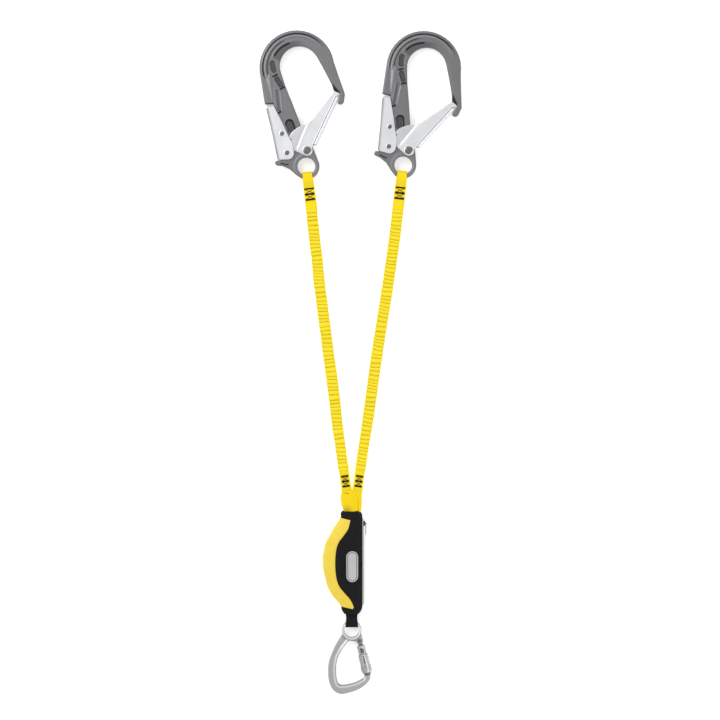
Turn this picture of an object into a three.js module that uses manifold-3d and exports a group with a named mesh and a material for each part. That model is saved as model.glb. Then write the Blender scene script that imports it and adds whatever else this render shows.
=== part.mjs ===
// Shock absorbing lanyard, lying flat: millimetres, +X right, +Y towards the hooks, +Z up.
import * as THREE from 'three';
import { mergeVertices } from 'three/addons/utils/BufferGeometryUtils.js';
import Module from 'manifold-3d';

const wasm = await Module();
wasm.setup();

// Driving dimensions shared by several pieces.
const GAP = 0.3; // left between touching pieces
const WEB_WIDTH = 18; // webbing, edge to edge
const WEB_THICK = 2.4; // webbing, one layer

const HOOK = {
  thick: 14, // forged body
  eyeHole: 14.4, // radius of the attachment eye
  eyeRim: 21.3, // outer radius of the eye
  bowX: 0,
  bowY: 160, // centre of the bow's back
  bowOuter: 60.5,
  mouthX: 4.5,
  mouthY: 163, // centre of the bow's inside
  mouthInner: 32,
  sheet: 1.5, // folded steel of gate and lever
  gatePivot: [3.8, 25],
  leverPivot: [-29, 24],
  stopPin: [-34, 55.6],
  gateRivet: 3, // shank radii
  leverRivet: 2.2,
  headThick: 1.3,
  reliefDepth: 1.2,
};
const HOOK_SIDES = [
  { side: 'left', eye: [-87.8, 318.2], turn: 5.5 },
  { side: 'right', eye: [69, 320], turn: -12 },
];

const POUCH = {
  thick: 30,
  wall: 2,
  right: 3.1, // straight edge that holds the zip
  top: -239,
  bottom: -404,
  neckWidth: 19,
  neckX: -14.3,
};

const CARABINER = {
  eye: [-14.3, -432.9],
  eyeHole: 11.8,
  eyeRim: 16,
  thick: 11,
  gateTop: [13.3, -19.4], // from the eye, where the gate's barrel starts
  gateTilt: 13.4, // degrees off the long axis
  gateRadius: 4.4,
  gateLength: 54,
  sleeveRadius: 8.3,
  collarRadius: 6.9,
  pivotBack: 2, // the rivet lies this far behind gateTop
  collarEnd: 22.4, // from the rivet, where the windowed collar stops
};

const hookHalf = HOOK.thick / 2;
const gateIn = hookHalf + 0.4; // inside face of the gate's cheeks
const gateOut = gateIn + HOOK.sheet;
const leverIn = gateOut + GAP;
const leverOut = leverIn + HOOK.sheet;
const hookHeight = leverOut + HOOK.headThick; // half height, rivet heads on the floor
const HARNESS = { half: 5.6, rise: 5 }; // strap into the pouch, and its climb from the eye
const eyeBarHalf = CARABINER.thick / 2 + 0.4; // room for the eye's bar in the harness loop
const carabinerHeight = Math.max(CARABINER.sleeveRadius, eyeBarHalf + WEB_THICK) + 0.2;
const pouchHeight = POUCH.thick / 2;

const FINISH = {
  forged: [0x7b7c7e, 0.5, 0.7],
  sheet: [0xd9dbdd, 0.3, 0.9],
  rivet: [0x8f9194, 0.35, 0.9],
  spring: [0xa8aaad, 0.35, 0.9],
  yellow: [0xf9e44a, 0.85, 0],
  panel: [0xf3d95c, 0.8, 0],
  black: [0x232226, 0.9, 0],
  elastic: [0xe9e6da, 0.9, 0],
  label: [0xc9c9c9, 0.7, 0],
  plastic: [0x2a2a2c, 0.5, 0],
  steel: [0xb1b1b1, 0.35, 0.9],
};

const lanyard = new THREE.Group();

function add(name, finish, geometry, parent) {
  const [color, roughness, metalness] = FINISH[finish];
  const material = new THREE.MeshStandardMaterial({ color, roughness, metalness });
  const mesh = new THREE.Mesh(geometry, material);
  mesh.name = name;
  parent.add(mesh);
  return mesh;
}

function bare(geometry) {
  const copy = geometry.clone();
  copy.deleteAttribute('normal');
  copy.deleteAttribute('uv');
  return mergeVertices(copy, 1e-4);
}

function solid(geometry) {
  const merged = bare(geometry);
  return new wasm.Manifold(new wasm.Mesh({
    numProp: 3,
    vertProperties: new Float32Array(merged.attributes.position.array),
    triVerts: new Uint32Array(merged.index.array),
  }));
}

function meshOf(manifold) {
  const mesh = manifold.getMesh();
  const geometry = new THREE.BufferGeometry();
  geometry.setAttribute('position', new THREE.BufferAttribute(mesh.vertProperties, 3));
  geometry.setIndex(new THREE.BufferAttribute(mesh.triVerts, 1));
  return geometry;
}

function cut(geometry, ...tools) {
  let result = solid(geometry);
  for (const tool of tools) {
    result = result.subtract(solid(tool));
  }
  return meshOf(result);
}

function join(...geometries) {
  let result = solid(geometries[0]);
  for (const other of geometries.slice(1)) {
    result = result.add(solid(other));
  }
  return meshOf(result);
}

function outline(points) {
  return new THREE.Shape(points.map(([x, y]) => new THREE.Vector2(x, y)));
}

// A smooth closed outline through the points.
function rounded(points, steps = 60) {
  const knots = points.map(([x, y]) => new THREE.Vector3(x, y, 0));
  const curve = new THREE.CatmullRomCurve3(knots, true, 'centripetal');
  return outline(curve.getSpacedPoints(steps).slice(0, -1).map((p) => [p.x, p.y]));
}

function arc(x, y, radius, fromDegrees, toDegrees, steps) {
  const points = [];
  for (let i = 0; i <= steps; i += 1) {
    const angle = THREE.MathUtils.degToRad(fromDegrees + ((toDegrees - fromDegrees) * i) / steps);
    points.push([x + radius * Math.cos(angle), y + radius * Math.sin(angle)]);
  }
  return points;
}

function disc(x, y, radius, steps = 24) {
  return outline(arc(x, y, radius, 0, 360, steps).slice(0, -1));
}

function plate(shape, low, high, bevel = 0) {
  const depth = high - low - 2 * bevel;
  const geometry = new THREE.ExtrudeGeometry(shape, {
    depth,
    bevelEnabled: bevel > 0,
    bevelThickness: bevel,
    bevelSize: bevel,
    bevelOffset: -bevel,
    bevelSegments: 1,
    curveSegments: 12,
  });
  return geometry.translate(0, 0, low + bevel);
}

// A slot outline of a given width between two points, with round ends.
function slotShape([ax, ay], [bx, by], width, steps = 5) {
  const along = THREE.MathUtils.radToDeg(Math.atan2(by - ay, bx - ax));
  return outline([
    ...arc(ax, ay, width / 2, along + 90, along + 270, steps),
    ...arc(bx, by, width / 2, along - 90, along + 90, steps),
  ]);
}

function rodZ([x, y], radius, low, high, sides = 20) {
  const rod = new THREE.CylinderGeometry(radius, radius, high - low, sides);
  return rod.rotateX(Math.PI / 2).translate(x, y, (low + high) / 2);
}

// A headed rivet along Z: shank, and a head outside each face.
function rivet(place, shank, head, face, headThick) {
  const profile = [
    [0, -face - headThick], [head * 0.7, -face - headThick], [head, -face - headThick * 0.4],
    [head, -face], [shank, -face], [shank, face], [head, face],
    [head, face + headThick * 0.4], [head * 0.7, face + headThick], [0, face + headThick],
  ];
  const points = profile.map(([x, y]) => new THREE.Vector2(x, y));
  return new THREE.LatheGeometry(points, 16).rotateX(Math.PI / 2).translate(place[0], place[1], 0);
}

// A helical wire as one closed tube, along Z.
class Helix extends THREE.Curve {
  constructor(radius, low, high, turns) {
    super();
    Object.assign(this, { radius, low, high, turns });
  }

  getPoint(t, target = new THREE.Vector3()) {
    const angle = t * this.turns * 2 * Math.PI;
    const z = this.low + t * (this.high - this.low);
    return target.set(this.radius * Math.cos(angle), this.radius * Math.sin(angle), z);
  }
}

function coil(radius, wire, low, high, turns) {
  const path = new Helix(radius, low + wire, high - wire, turns);
  return new THREE.ExtrudeGeometry(disc(0, 0, wire, 5), {
    steps: Math.round(turns * 9),
    extrudePath: path,
    bevelEnabled: false,
  });
}

// ---- scaffold hook, in its own frame: eye centre at the origin, bow towards +Y ----

function hookOutline() {
  const { bowX, bowY, bowOuter, mouthX, mouthY, mouthInner, eyeRim } = HOOK;
  return outline([
    ...arc(0, 0, eyeRim, -115, 8, 11),
    [16, 21], [14, 27], [13, 33], [7, 36],
    [-2.5, 66.7], [-12.2, 101.6], [-21.2, 132],
    ...arc(mouthX, mouthY, mouthInner, 195, 22, 13),
    [44.6, 151], [54, 127], [56, 117.5], [66, 112.5],
    ...arc(65.2, 100.2, 5.8, 212, 345, 6),
    [73.5, 110], [65.7, 141],
    ...arc(bowX, bowY, bowOuter, 4, 180, 20),
    [-58.5, 128], [-57.2, 106],
    [-43.4, 105.6], [-34, 62], [-34, 38], [-36.5, 22], [-43, 13.4],
    ...arc(-46.2, 9.6, 3.9, 105, 255, 6),
    [-38.7, 4.5], [-27, -2], [-18, -12],
  ]);
}

// Shallow pockets of the forging: [from, to, width].
const HOOK_POCKETS = [
  [[-38.6, 171], [-37, 159], 9.2],
  [[-34, 144], [-28.8, 134.5], 7.5],
  [[-20.8, 71], [-18, 61], 12],
];

function hookBody() {
  const half = hookHalf;
  const body = plate(hookOutline(), -half, half, 1);
  const tools = [
    rodZ([0, 0], HOOK.eyeHole, -half - 1, half + 1, 32),
    rodZ(HOOK.gatePivot, HOOK.gateRivet + GAP, -half - 1, half + 1),
    rodZ(HOOK.leverPivot, HOOK.leverRivet + GAP, -half - 1, half + 1),
    springBay(),
    stopSlot(),
  ];
  for (const [from, to, width] of HOOK_POCKETS) {
    const shape = slotShape(from, to, width);
    tools.push(plate(shape, half - HOOK.reliefDepth, half + 1));
    tools.push(plate(shape, -half - 1, -half + HOOK.reliefDepth));
  }
  for (const face of [-1, 1]) {
    tools.push(rimGroove(face));
  }
  return cut(body, ...tools);
}

// The groove that leaves a raised rim round the outside of the bow.
function rimGroove(face) {
  const { bowX, bowY, bowOuter, reliefDepth } = HOOK;
  const shape = outline([
    ...arc(bowX, bowY, bowOuter - 4.6, 52, 190, 16),
    ...arc(bowX, bowY, bowOuter - 6.9, 190, 52, 16),
  ]);
  const low = face > 0 ? hookHalf - reliefDepth : -hookHalf - 1;
  return plate(shape, low, low + reliefDepth + 1);
}

// Room round both rivets for their torsion springs, open to the back of the handle.
function springBay() {
  const [gx, gy] = HOOK.gatePivot;
  const [lx, ly] = HOOK.leverPivot;
  const gateBay = plate(slotShape([gx, gy], [gx + 20, gy + 12], 10.6), -4.2, 4.2);
  const leverBay = plate(slotShape([lx, ly], [lx - 25, ly + 4], 8.6), -4.2, 4.2);
  return join(gateBay, leverBay);
}

// The slot that lets the lever's stop pin travel.
function stopSlot() {
  const [x, y] = HOOK.stopPin;
  return plate(slotShape([x - 12, y - 0.6], [x + 4.6, y + 0.4], 2 * HOOK.leverRivet + 1.4), -20, 20);
}

function gateOutline() {
  return outline([
    [55.8, 116.6], [64.6, 112.2], [60.8, 101.8], [20, 33.3], [15, 33],
    ...arc(HOOK.gatePivot[0], HOOK.gatePivot[1], 9, 20, -110, 10),
    [-17.6, 27], [-23.5, 49.5], [-18, 57], [-10, 62.4], [-2.5, 65.8], [6, 67.6], [13, 72],
  ]);
}

// The lever's rivet crosses the gate's cheeks, so they are cut back along its path.
function gateRelief() {
  const [gx, gy] = HOOK.gatePivot;
  const [lx, ly] = HOOK.leverPivot;
  const reach = Math.hypot(lx - gx, ly - gy) - HOOK.leverRivet - 0.8;
  return plate(outline([
    ...arc(gx, gy, reach, 140, 200, 8),
    ...arc(gx, gy, 60, 200, 140, 4),
  ]), -20, 20);
}

function gate() {
  const { sheet, gatePivot, gateRivet } = HOOK;
  const full = plate(gateOutline(), -gateOut, gateOut, 0.5);
  const inside = plate(outline([
    [70, 140], [60.2 - sheet, 103.6], [17.6 - sheet, 33.8], [20, 30], [20, 0], [-60, 0], [-60, 140],
  ]), -gateIn, gateIn);
  const hole = rodZ(gatePivot, gateRivet + GAP, -20, 20);
  return cut(full, inside, hole, gateRelief());
}

function leverOutline() {
  return outline([
    [-54.5, 102.8], [-44.5, 103], [-42.5, 101.3], [-31, 72], [-23.5, 50], [-18.5, 40], [-17.4, 27],
    ...arc(HOOK.leverPivot[0], HOOK.leverPivot[1], 11.6, 0, -75, 6),
    [-42, 13.9], [-45.6, 17], [-50, 58], [-55.5, 96],
  ]);
}

function lockLever() {
  const { sheet, leverPivot, leverRivet, stopPin } = HOOK;
  const full = plate(leverOutline(), -leverOut, leverOut, 0.5);
  const inside = plate(outline([
    [-55.6 + sheet, 110], [-55.5 + sheet, 96], [-50 + sheet, 58], [-46.6 + sheet, 26],
    [-46.6 + sheet, 10], [0, 0], [0, 110],
  ]), -leverIn, leverIn);
  const holes = [leverPivot, stopPin].map((place) => rodZ(place, leverRivet + GAP, -20, 20));
  return cut(full, inside, ...holes);
}

// A torsion spring round a rivet, with its two legs left as coil ends.
function torsionSpring([x, y], shank) {
  return coil(shank + 1, 0.55, -3.6, 3.6, 3).translate(x, y, 0);
}

function buildHook({ side, eye, turn }) {
  const group = new THREE.Group();
  group.position.set(eye[0], eye[1], hookHeight);
  group.rotation.z = THREE.MathUtils.degToRad(turn);
  lanyard.add(group);
  const { gatePivot, leverPivot, stopPin, gateRivet, leverRivet, headThick } = HOOK;
  add(`${side}_hook_body`, 'forged', hookBody(), group);
  add(`${side}_gate`, 'sheet', gate(), group);
  add(`${side}_gate_rivet`, 'rivet', rivet(gatePivot, gateRivet, 6, gateOut + GAP, headThick), group);
  add(`${side}_gate_spring`, 'spring', torsionSpring(gatePivot, gateRivet), group);
  add(`${side}_lock_lever`, 'sheet', lockLever(), group);
  const face = leverOut;
  add(`${side}_lever_rivet`, 'rivet', rivet(leverPivot, leverRivet, 3.6, face, headThick), group);
  add(`${side}_lever_stop_pin`, 'rivet', rivet(stopPin, leverRivet, 3.2, face, headThick), group);
  add(`${side}_lever_spring`, 'spring', torsionSpring(leverPivot, leverRivet), group);
}

HOOK_SIDES.forEach(buildHook);

// ---- webbing arms ----

// A route whose section keeps its flat side level.
class LevelRoute extends THREE.CatmullRomCurve3 {
  computeFrenetFrames(segments) {
    const frames = { tangents: [], normals: [], binormals: [] };
    const up = new THREE.Vector3(0, 0, 1);
    for (let i = 0; i <= segments; i += 1) {
      const tangent = this.getTangentAt(i / segments);
      const across = new THREE.Vector3().crossVectors(up, tangent).normalize();
      frames.tangents.push(tangent);
      frames.normals.push(across);
      frames.binormals.push(new THREE.Vector3().crossVectors(tangent, across));
    }
    return frames;
  }
}

function sweep(points, section, steps) {
  const route = new LevelRoute(points.map((p) => new THREE.Vector3(...p)));
  return new THREE.ExtrudeGeometry(section, { steps, extrudePath: route, bevelEnabled: false });
}

function oval(width, thick, sides) {
  const points = [];
  for (let i = 0; i < sides; i += 1) {
    const angle = ((i + 0.5) / sides) * 2 * Math.PI;
    points.push([(width / 2) * Math.cos(angle), (thick / 2) * Math.sin(angle)]);
  }
  return outline(points);
}

const ARM = {
  width: 19, // ruched sleeve
  thick: 8,
  wall: 1.6,
  coreWidth: 12,
  coreThick: 3,
  steps: 26,
  forkWidth: 16.6, // flat sewn end, rounded where it turns at the fork
};

const forkHeight = pouchHeight;
// Routes of the ruched sleeves, from the hook to the fork, resting on the floor between.
const ARM_ROUTES = {
  left: [
    [-79.3, 249, hookHeight], [-78, 231, 10], [-75.8, 212, 6.5], [-73.6, 192, 4.6],
    [-71, 172, 4.2], [-67.2, 133, 4.2], [-62.4, 94, 4.2], [-57.4, 56, 4.2], [-52.4, 17, 4.2],
    [-47, -22, 4.2], [-42, -61, 4.2], [-37.8, -100, 5.5], [-34, -126, 8.5], [-31.4, -146, 11.5],
    [-28.8, -164, 14], [-27.2, -175, forkHeight],
  ],
  right: [
    [60.6, 249, hookHeight], [58.6, 231, 10], [56.4, 212, 6.5], [53.8, 192, 4.6],
    [51, 172, 4.2], [45.4, 133, 4.2], [39.4, 94, 4.2], [33.2, 56, 4.2], [27.2, 17, 4.2],
    [21.6, -22, 4.2], [16.4, -61, 4.2], [10.8, -100, 5.5], [6.6, -126, 8.5], [3.6, -146, 11.5],
    [1, -164, 14], [-0.6, -175, forkHeight],
  ],
};
const FORK = { left: [-22.4, -207.5], right: [-5.2, -207.5] };

function armSleeve(side) {
  const section = oval(ARM.width, ARM.thick, 12);
  section.holes.push(oval(ARM.width - 2 * ARM.wall, ARM.thick - 2 * ARM.wall, 12));
  return sweep(ARM_ROUTES[side], section, ARM.steps);
}

function armCore(side) {
  return sweep(ARM_ROUTES[side], oval(ARM.coreWidth, ARM.coreThick, 8), ARM.steps);
}

// Where a fork end starts, how far it runs and which way, in degrees.
function forkLine(side) {
  const [fx, fy] = FORK[side];
  const [x, y] = ARM_ROUTES[side].at(-1);
  return {
    from: [fx, fy],
    length: Math.hypot(x - fx, y - fy) - 1.2,
    heading: THREE.MathUtils.radToDeg(Math.atan2(y - fy, x - fx)),
  };
}

// The flat sewn end of an arm, drawn along +Y from its turning point.
function forkEnd(side) {
  const { from, length, heading } = forkLine(side);
  const half = ARM.forkWidth / 2;
  const shape = outline([...arc(0, 0, half, 180, 360, 10), [half, length], [-half, length]]);
  const turn = THREE.MathUtils.degToRad(heading - 90);
  return plate(shape, forkHeight - WEB_THICK, forkHeight + WEB_THICK)
    .rotateZ(turn).translate(from[0], from[1], 0);
}

// Bar tacks: three bars across the webbing joined by crossed threads, one connected piece.
function barTacks(width, pitch, bar) {
  const pieces = [];
  for (const row of [-1, 0, 1]) {
    pieces.push(new THREE.BoxGeometry(width, bar, 0.6).translate(0, row * pitch, 0));
  }
  const lean = Math.atan2(pitch, width * 0.8);
  for (const row of [-0.5, 0.5]) {
    for (const way of [-1, 1]) {
      const thread = new THREE.BoxGeometry(Math.hypot(width * 0.8, pitch), 0.7, 0.6);
      pieces.push(thread.rotateZ(way * lean).translate(0, row * pitch, 0));
    }
  }
  return join(...pieces);
}

function junctionTacks(side) {
  const { from, length, heading } = forkLine(side);
  return barTacks(11, 8, 3)
    .translate(0, length * 0.5, forkHeight + WEB_THICK + 0.3 + GAP)
    .rotateZ(THREE.MathUtils.degToRad(heading - 90))
    .translate(from[0], from[1], 0);
}

// An outline of [y, z] points, spread evenly to both sides along X.
function sidePlate(points, width) {
  const turn = new THREE.Matrix4().makeBasis(
    new THREE.Vector3(0, 1, 0),
    new THREE.Vector3(0, 0, 1),
    new THREE.Vector3(1, 0, 0),
  );
  return plate(outline(points), -width / 2, width / 2).applyMatrix4(turn);
}

// A webbing loop through an eye at the origin; the strap leaves towards -Y.
function webLoop({ hole, rim, barHalf, inReach, inThick, width, length, strapHalf, rise = 0 }) {
  const lap = barHalf + WEB_THICK;
  const outer = sidePlate([
    [-inReach, -2.6], [-inReach - 1.4, -barHalf - 1], [-hole + 1, -lap], [-rim, -lap],
    [-rim - 9, rise - strapHalf], [-length, rise - strapHalf],
    [-length, rise + strapHalf], [-rim - 9, rise + strapHalf],
    [-rim, lap], [-hole + 1, lap], [-inReach - 1.4, barHalf + 1], [-inReach, 2.6],
  ], width);
  const inner = sidePlate([
    [-inReach - inThick, -2], [-inReach - inThick - 0.6, -barHalf], [-rim - 0.6, -barHalf],
    [-rim - 6, rise / 2 - 0.5], [-rim - 6, rise / 2 + 0.5], [-rim - 0.6, barHalf],
    [-inReach - inThick - 0.6, barHalf], [-inReach - inThick, 2],
  ], width + 2);
  const ring = cut(
    rodZ([0, 0], rim + 0.6, -barHalf, barHalf, 32),
    rodZ([0, 0], hole - 0.5, -20, 20, 32),
  );
  return cut(outer, inner, ring);
}

function hookLoop(side, [ex, ey]) {
  const [x, y] = ARM_ROUTES[side][0];
  const lean = Math.atan2(x - ex, ey - y);
  return webLoop({
    hole: HOOK.eyeHole,
    rim: HOOK.eyeRim,
    barHalf: hookHalf + 0.6,
    inReach: HOOK.eyeHole - 5.4,
    inThick: WEB_THICK,
    width: WEB_WIDTH,
    length: Math.hypot(x - ex, y - ey) - 1.2,
    strapHalf: WEB_THICK,
  }).rotateZ(lean).translate(ex, ey, hookHeight);
}

function hookTacks(side, [ex, ey]) {
  const [x, y] = ARM_ROUTES[side][0];
  const lean = Math.atan2(x - ex, ey - y);
  return barTacks(13, 9, 2.6)
    .translate(0, -46, hookHeight + WEB_THICK + 0.3 + GAP)
    .rotateZ(lean).translate(ex, ey, 0);
}

for (const { side, eye } of HOOK_SIDES) {
  add(`${side}_arm_sleeve`, 'yellow', armSleeve(side), lanyard);
  add(`${side}_arm_core`, 'elastic', armCore(side), lanyard);
  add(`${side}_hook_loop`, 'yellow', hookLoop(side, eye), lanyard);
  add(`${side}_hook_tacks`, 'black', hookTacks(side, eye), lanyard);
  add(`${side}_fork_end`, 'yellow', forkEnd(side), lanyard);
  add(`${side}_fork_tacks`, 'black', junctionTacks(side), lanyard);
}

// ---- energy absorber ----

const ABSORBER = {
  loopThick: 15,
  packSize: [29, 128], // fills the pouch's thickness
  panelSkin: 1.2,
  zipY: [-252, -392],
  tapeWidth: 13,
  coilRadius: 1.1,
  sliderSize: [2.8, 8, 6],
  hingeOut: 1.2, // the pull's hinge, beyond the slider
  sliderY: -260,
  pullLength: 19,
  labelSize: [19, 50],
  labelAt: [-13.4, -329],
};

function absorberLoop() {
  const half = ABSORBER.loopThick / 2;
  const shape = rounded([
    [-30.5, -212], [-31.5, -224], [-28.5, -236], [-24, -246], [-14, -249], [-3, -246],
    [1.6, -234], [2, -220], [0.5, -210], [-13.8, -211],
  ], 40);
  const recesses = Object.entries(FORK).map(([side, place]) => {
    const outward = side === 'left' ? 150 : 30;
    const reach = ARM.forkWidth / 2 + 0.5;
    const far = THREE.MathUtils.degToRad(outward);
    const tip = [place[0] + 30 * Math.cos(far), place[1] + 30 * Math.sin(far)];
    return join(
      plate(slotShape(place, tip, 2 * reach), -20, 20),
      plate(slotShape(place, [place[0], place[1] + 20], 2 * reach), -20, 20),
    );
  });
  return cut(plate(shape, -half, half, 2), ...recesses).translate(0, 0, forkHeight);
}

// The pouch's curved left side, outermost at its middle.
function pouchCurve(inset) {
  const points = [
    [-33.5, -250.6], [-48.9, -276.5], [-57.7, -292.7], [-62, -315.4], [-61.2, -333.2],
    [-54.8, -360.8], [-47.5, -375.4], [-33, -392.6],
  ];
  return points.map(([x, y]) => [x + inset, y]);
}

function pouchOutline() {
  const { right, top, bottom, neckX, neckWidth } = POUCH;
  const half = neckWidth / 2 + 1.6;
  return outline([
    [right - 4, top - 1], [-28.5, top], [-32.5, top - 3],
    ...pouchCurve(ABSORBER.panelSkin + GAP),
    [-31.6, bottom + 4], [neckX - half, bottom - 3], [neckX + half, bottom - 3],
    [right, bottom + 6], [right, top - 6],
  ]);
}

// The outline moved inwards (or outwards, when negative) all round.
function offsetPlate(shape, inset, low, high) {
  return new THREE.ExtrudeGeometry(shape, {
    depth: high - low - 1,
    bevelEnabled: true,
    bevelThickness: 0.5,
    bevelSize: 0,
    bevelOffset: -inset,
    bevelSegments: 1,
  }).translate(0, 0, low + 0.5);
}

const shellLow = ABSORBER.panelSkin + GAP;
const shellHigh = POUCH.thick - shellLow;

function pouchShell() {
  const { wall, top, bottom, neckX, neckWidth } = POUCH;
  const mouth = new THREE.BoxGeometry(31, 14, ABSORBER.loopThick + 1).translate(-14.7, top - 3, 0);
  const neck = new THREE.BoxGeometry(neckWidth + 0.8, 14, 2 * HARNESS.half + 1).translate(neckX, bottom, 0);
  return cut(
    plate(pouchOutline(), shellLow, shellHigh, 2.5),
    offsetPlate(pouchOutline(), wall, shellLow + wall, shellHigh - wall),
    mouth.translate(0, 0, pouchHeight),
    neck.translate(0, 0, carabinerHeight + HARNESS.rise),
  );
}

// The yellow side panel wraps the curved side, front and back.
function pouchPanel() {
  const shape = outline([
    ...pouchCurve(0),
    [-13, -397.6], [-11.3, -394], [-17.2, -381.8], [-26.5, -371], [-34.5, -360.8],
    [-39.2, -347], [-41, -327], [-40, -306], [-36, -291.1], [-27, -278.5], [-20.1, -267.9],
    [-16.5, -254.2],
  ]);
  return cut(
    plate(shape, 0, POUCH.thick, 0.4),
    offsetPlate(pouchOutline(), -GAP, ABSORBER.panelSkin, POUCH.thick - ABSORBER.panelSkin),
  );
}

function tearPack() {
  const [x, y] = ABSORBER.packSize;
  const z = shellHigh - shellLow - 2 * POUCH.wall - 2;
  const shape = outline([
    ...arc(x / 2 - 3, y / 2 - 3, 3, 0, 90, 4), ...arc(3 - x / 2, y / 2 - 3, 3, 90, 180, 4),
    ...arc(3 - x / 2, 3 - y / 2, 3, 180, 270, 4), ...arc(x / 2 - 3, 3 - y / 2, 3, 270, 360, 4),
  ]);
  return plate(shape, -z / 2, z / 2, 1).translate(-16, -321.5, pouchHeight);
}

function pouchLabel() {
  const [width, height] = ABSORBER.labelSize;
  const [x, y] = ABSORBER.labelAt;
  const reach = (height - width) / 2;
  return plate(slotShape([x, y - reach], [x, y + reach], width, 10), shellHigh + GAP, shellHigh + 1.1);
}

const tapeFace = POUCH.right + GAP;
const tapeOut = tapeFace + 0.8;
const pullHinge = tapeOut + GAP + ABSORBER.sliderSize[0] + ABSORBER.hingeOut;

function zipTape() {
  const [top, bottom] = ABSORBER.zipY;
  return new THREE.BoxGeometry(0.8, top - bottom, ABSORBER.tapeWidth)
    .translate(tapeFace + 0.4, (top + bottom) / 2, pouchHeight);
}

function zipCoil() {
  const [top, bottom] = ABSORBER.zipY;
  const shape = outline([...arc(0, 0, ABSORBER.coilRadius, 0, 180, 8)]);
  const turn = new THREE.Matrix4().makeBasis(
    new THREE.Vector3(0, 0, -1),
    new THREE.Vector3(1, 0, 0),
    new THREE.Vector3(0, -1, 0),
  );
  return plate(shape, -top + 2, -bottom - 2).applyMatrix4(turn)
    .translate(tapeOut + GAP, 0, pouchHeight);
}

function zipSlider() {
  const [x, y, z] = ABSORBER.sliderSize;
  const body = new THREE.BoxGeometry(x, y, z).translate(tapeOut + GAP + x / 2, 0, 0);
  const groove = new THREE.BoxGeometry(2 * (ABSORBER.coilRadius + 0.5), y + 2, 2 * ABSORBER.coilRadius + 1)
    .translate(tapeOut + GAP, 0, 0);
  const lug = plate(slotShape([0, 0], [-2.4, 0], 2.6), -1, 1).translate(pullHinge, 0, 0);
  const eye = rodZ([pullHinge, 0], 0.7, -5, 5, 12);
  return cut(join(body, lug), groove, eye).translate(0, ABSORBER.sliderY, pouchHeight);
}

// The pull is a frame whose bar passes through the slider's lug.
function zipPull() {
  const length = ABSORBER.pullLength;
  const tab = new THREE.BoxGeometry(1, length, 6).translate(0, -length / 2 + 1, 0);
  const slot = new THREE.BoxGeometry(4, 6, 3).translate(0, -1.2, 0);
  const window = new THREE.BoxGeometry(4, 5.5, 2.4).translate(0, -length + 6, 0);
  const bar = rodZ([0, 0], 0.4, -2.5, 2.5, 8);
  return join(cut(tab, slot, window), bar).translate(pullHinge, ABSORBER.sliderY, pouchHeight);
}

function harnessLoop() {
  const [x, y] = CARABINER.eye;
  return webLoop({
    hole: CARABINER.eyeHole,
    rim: CARABINER.eyeRim,
    barHalf: eyeBarHalf,
    inReach: 4.4,
    inThick: 4.6,
    width: POUCH.neckWidth,
    length: -y + POUCH.bottom + 18,
    strapHalf: HARNESS.half,
    rise: HARNESS.rise,
  }).rotateZ(Math.PI).translate(x, y, carabinerHeight);
}

add('absorber_loop', 'yellow', absorberLoop(), lanyard);
add('tear_pack', 'yellow', tearPack(), lanyard);
add('pouch_shell', 'black', pouchShell(), lanyard);
add('pouch_panel', 'panel', pouchPanel(), lanyard);
add('pouch_label', 'label', pouchLabel(), lanyard);
add('zip_tape', 'black', zipTape(), lanyard);
add('zip_coil', 'plastic', zipCoil(), lanyard);
add('zip_slider', 'plastic', zipSlider(), lanyard);
add('zip_pull', 'plastic', zipPull(), lanyard);
add('harness_loop', 'black', harnessLoop(), lanyard);

// ---- captive-eye carabiner, in its own frame: eye centre at the origin ----

const tiltRadians = THREE.MathUtils.degToRad(CARABINER.gateTilt);
const gateDirection = [Math.sin(tiltRadians), -Math.cos(tiltRadians)];
const gatePivotAt = CARABINER.gateTop.map((v, i) => v - CARABINER.pivotBack * gateDirection[i]);
const barrelEnd = CARABINER.gateLength + CARABINER.pivotBack; // from the rivet, along the gate

// A point on the gate's line: reach along it, and offset to its right-hand side.
function onGate(reach, offset = 0) {
  const [dx, dy] = gateDirection;
  return [gatePivotAt[0] + reach * dx - offset * dy, gatePivotAt[1] + reach * dy + offset * dx];
}

function carabinerOutline() {
  const [px, py] = gatePivotAt;
  const spine = new THREE.CatmullRomCurve3([
    [-15, -6], [-24.8, -21.4], [-31.8, -36.1], [-37.3, -51.7], [-38.4, -66.4], [-37.3, -81.8],
    [-33.4, -92.7], [-27.4, -100], [-17.8, -104], [-8.6, -102.7], [3.1, -99.6], [14.7, -94.3],
    [24, -87.3], [30.3, -78.9],
  ].map(([x, y]) => new THREE.Vector3(x, y, 0)));
  const basket = new THREE.CatmullRomCurve3([
    [18, -79], [6.2, -84.9], [-6.2, -88.1], [-17, -89.2], [-22.2, -86.4], [-24.8, -76.5],
    [-25.6, -62.5], [-23.3, -47], [-17, -33], [-5.5, -17.8],
  ].map(([x, y]) => new THREE.Vector3(x, y, 0)));
  const flat = (curve, steps) => curve.getPoints(steps).map((p) => [p.x, p.y]);
  return outline([
    ...arc(0, 0, CARABINER.eyeRim, -20, 195, 18),
    ...flat(spine, 30),
    onGate(barrelEnd + 0.6, 4.8), onGate(barrelEnd + 0.6, -4.6),
    ...flat(basket, 30),
    ...arc(px, py, 6, 190, 380, 9),
  ]);
}

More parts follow.
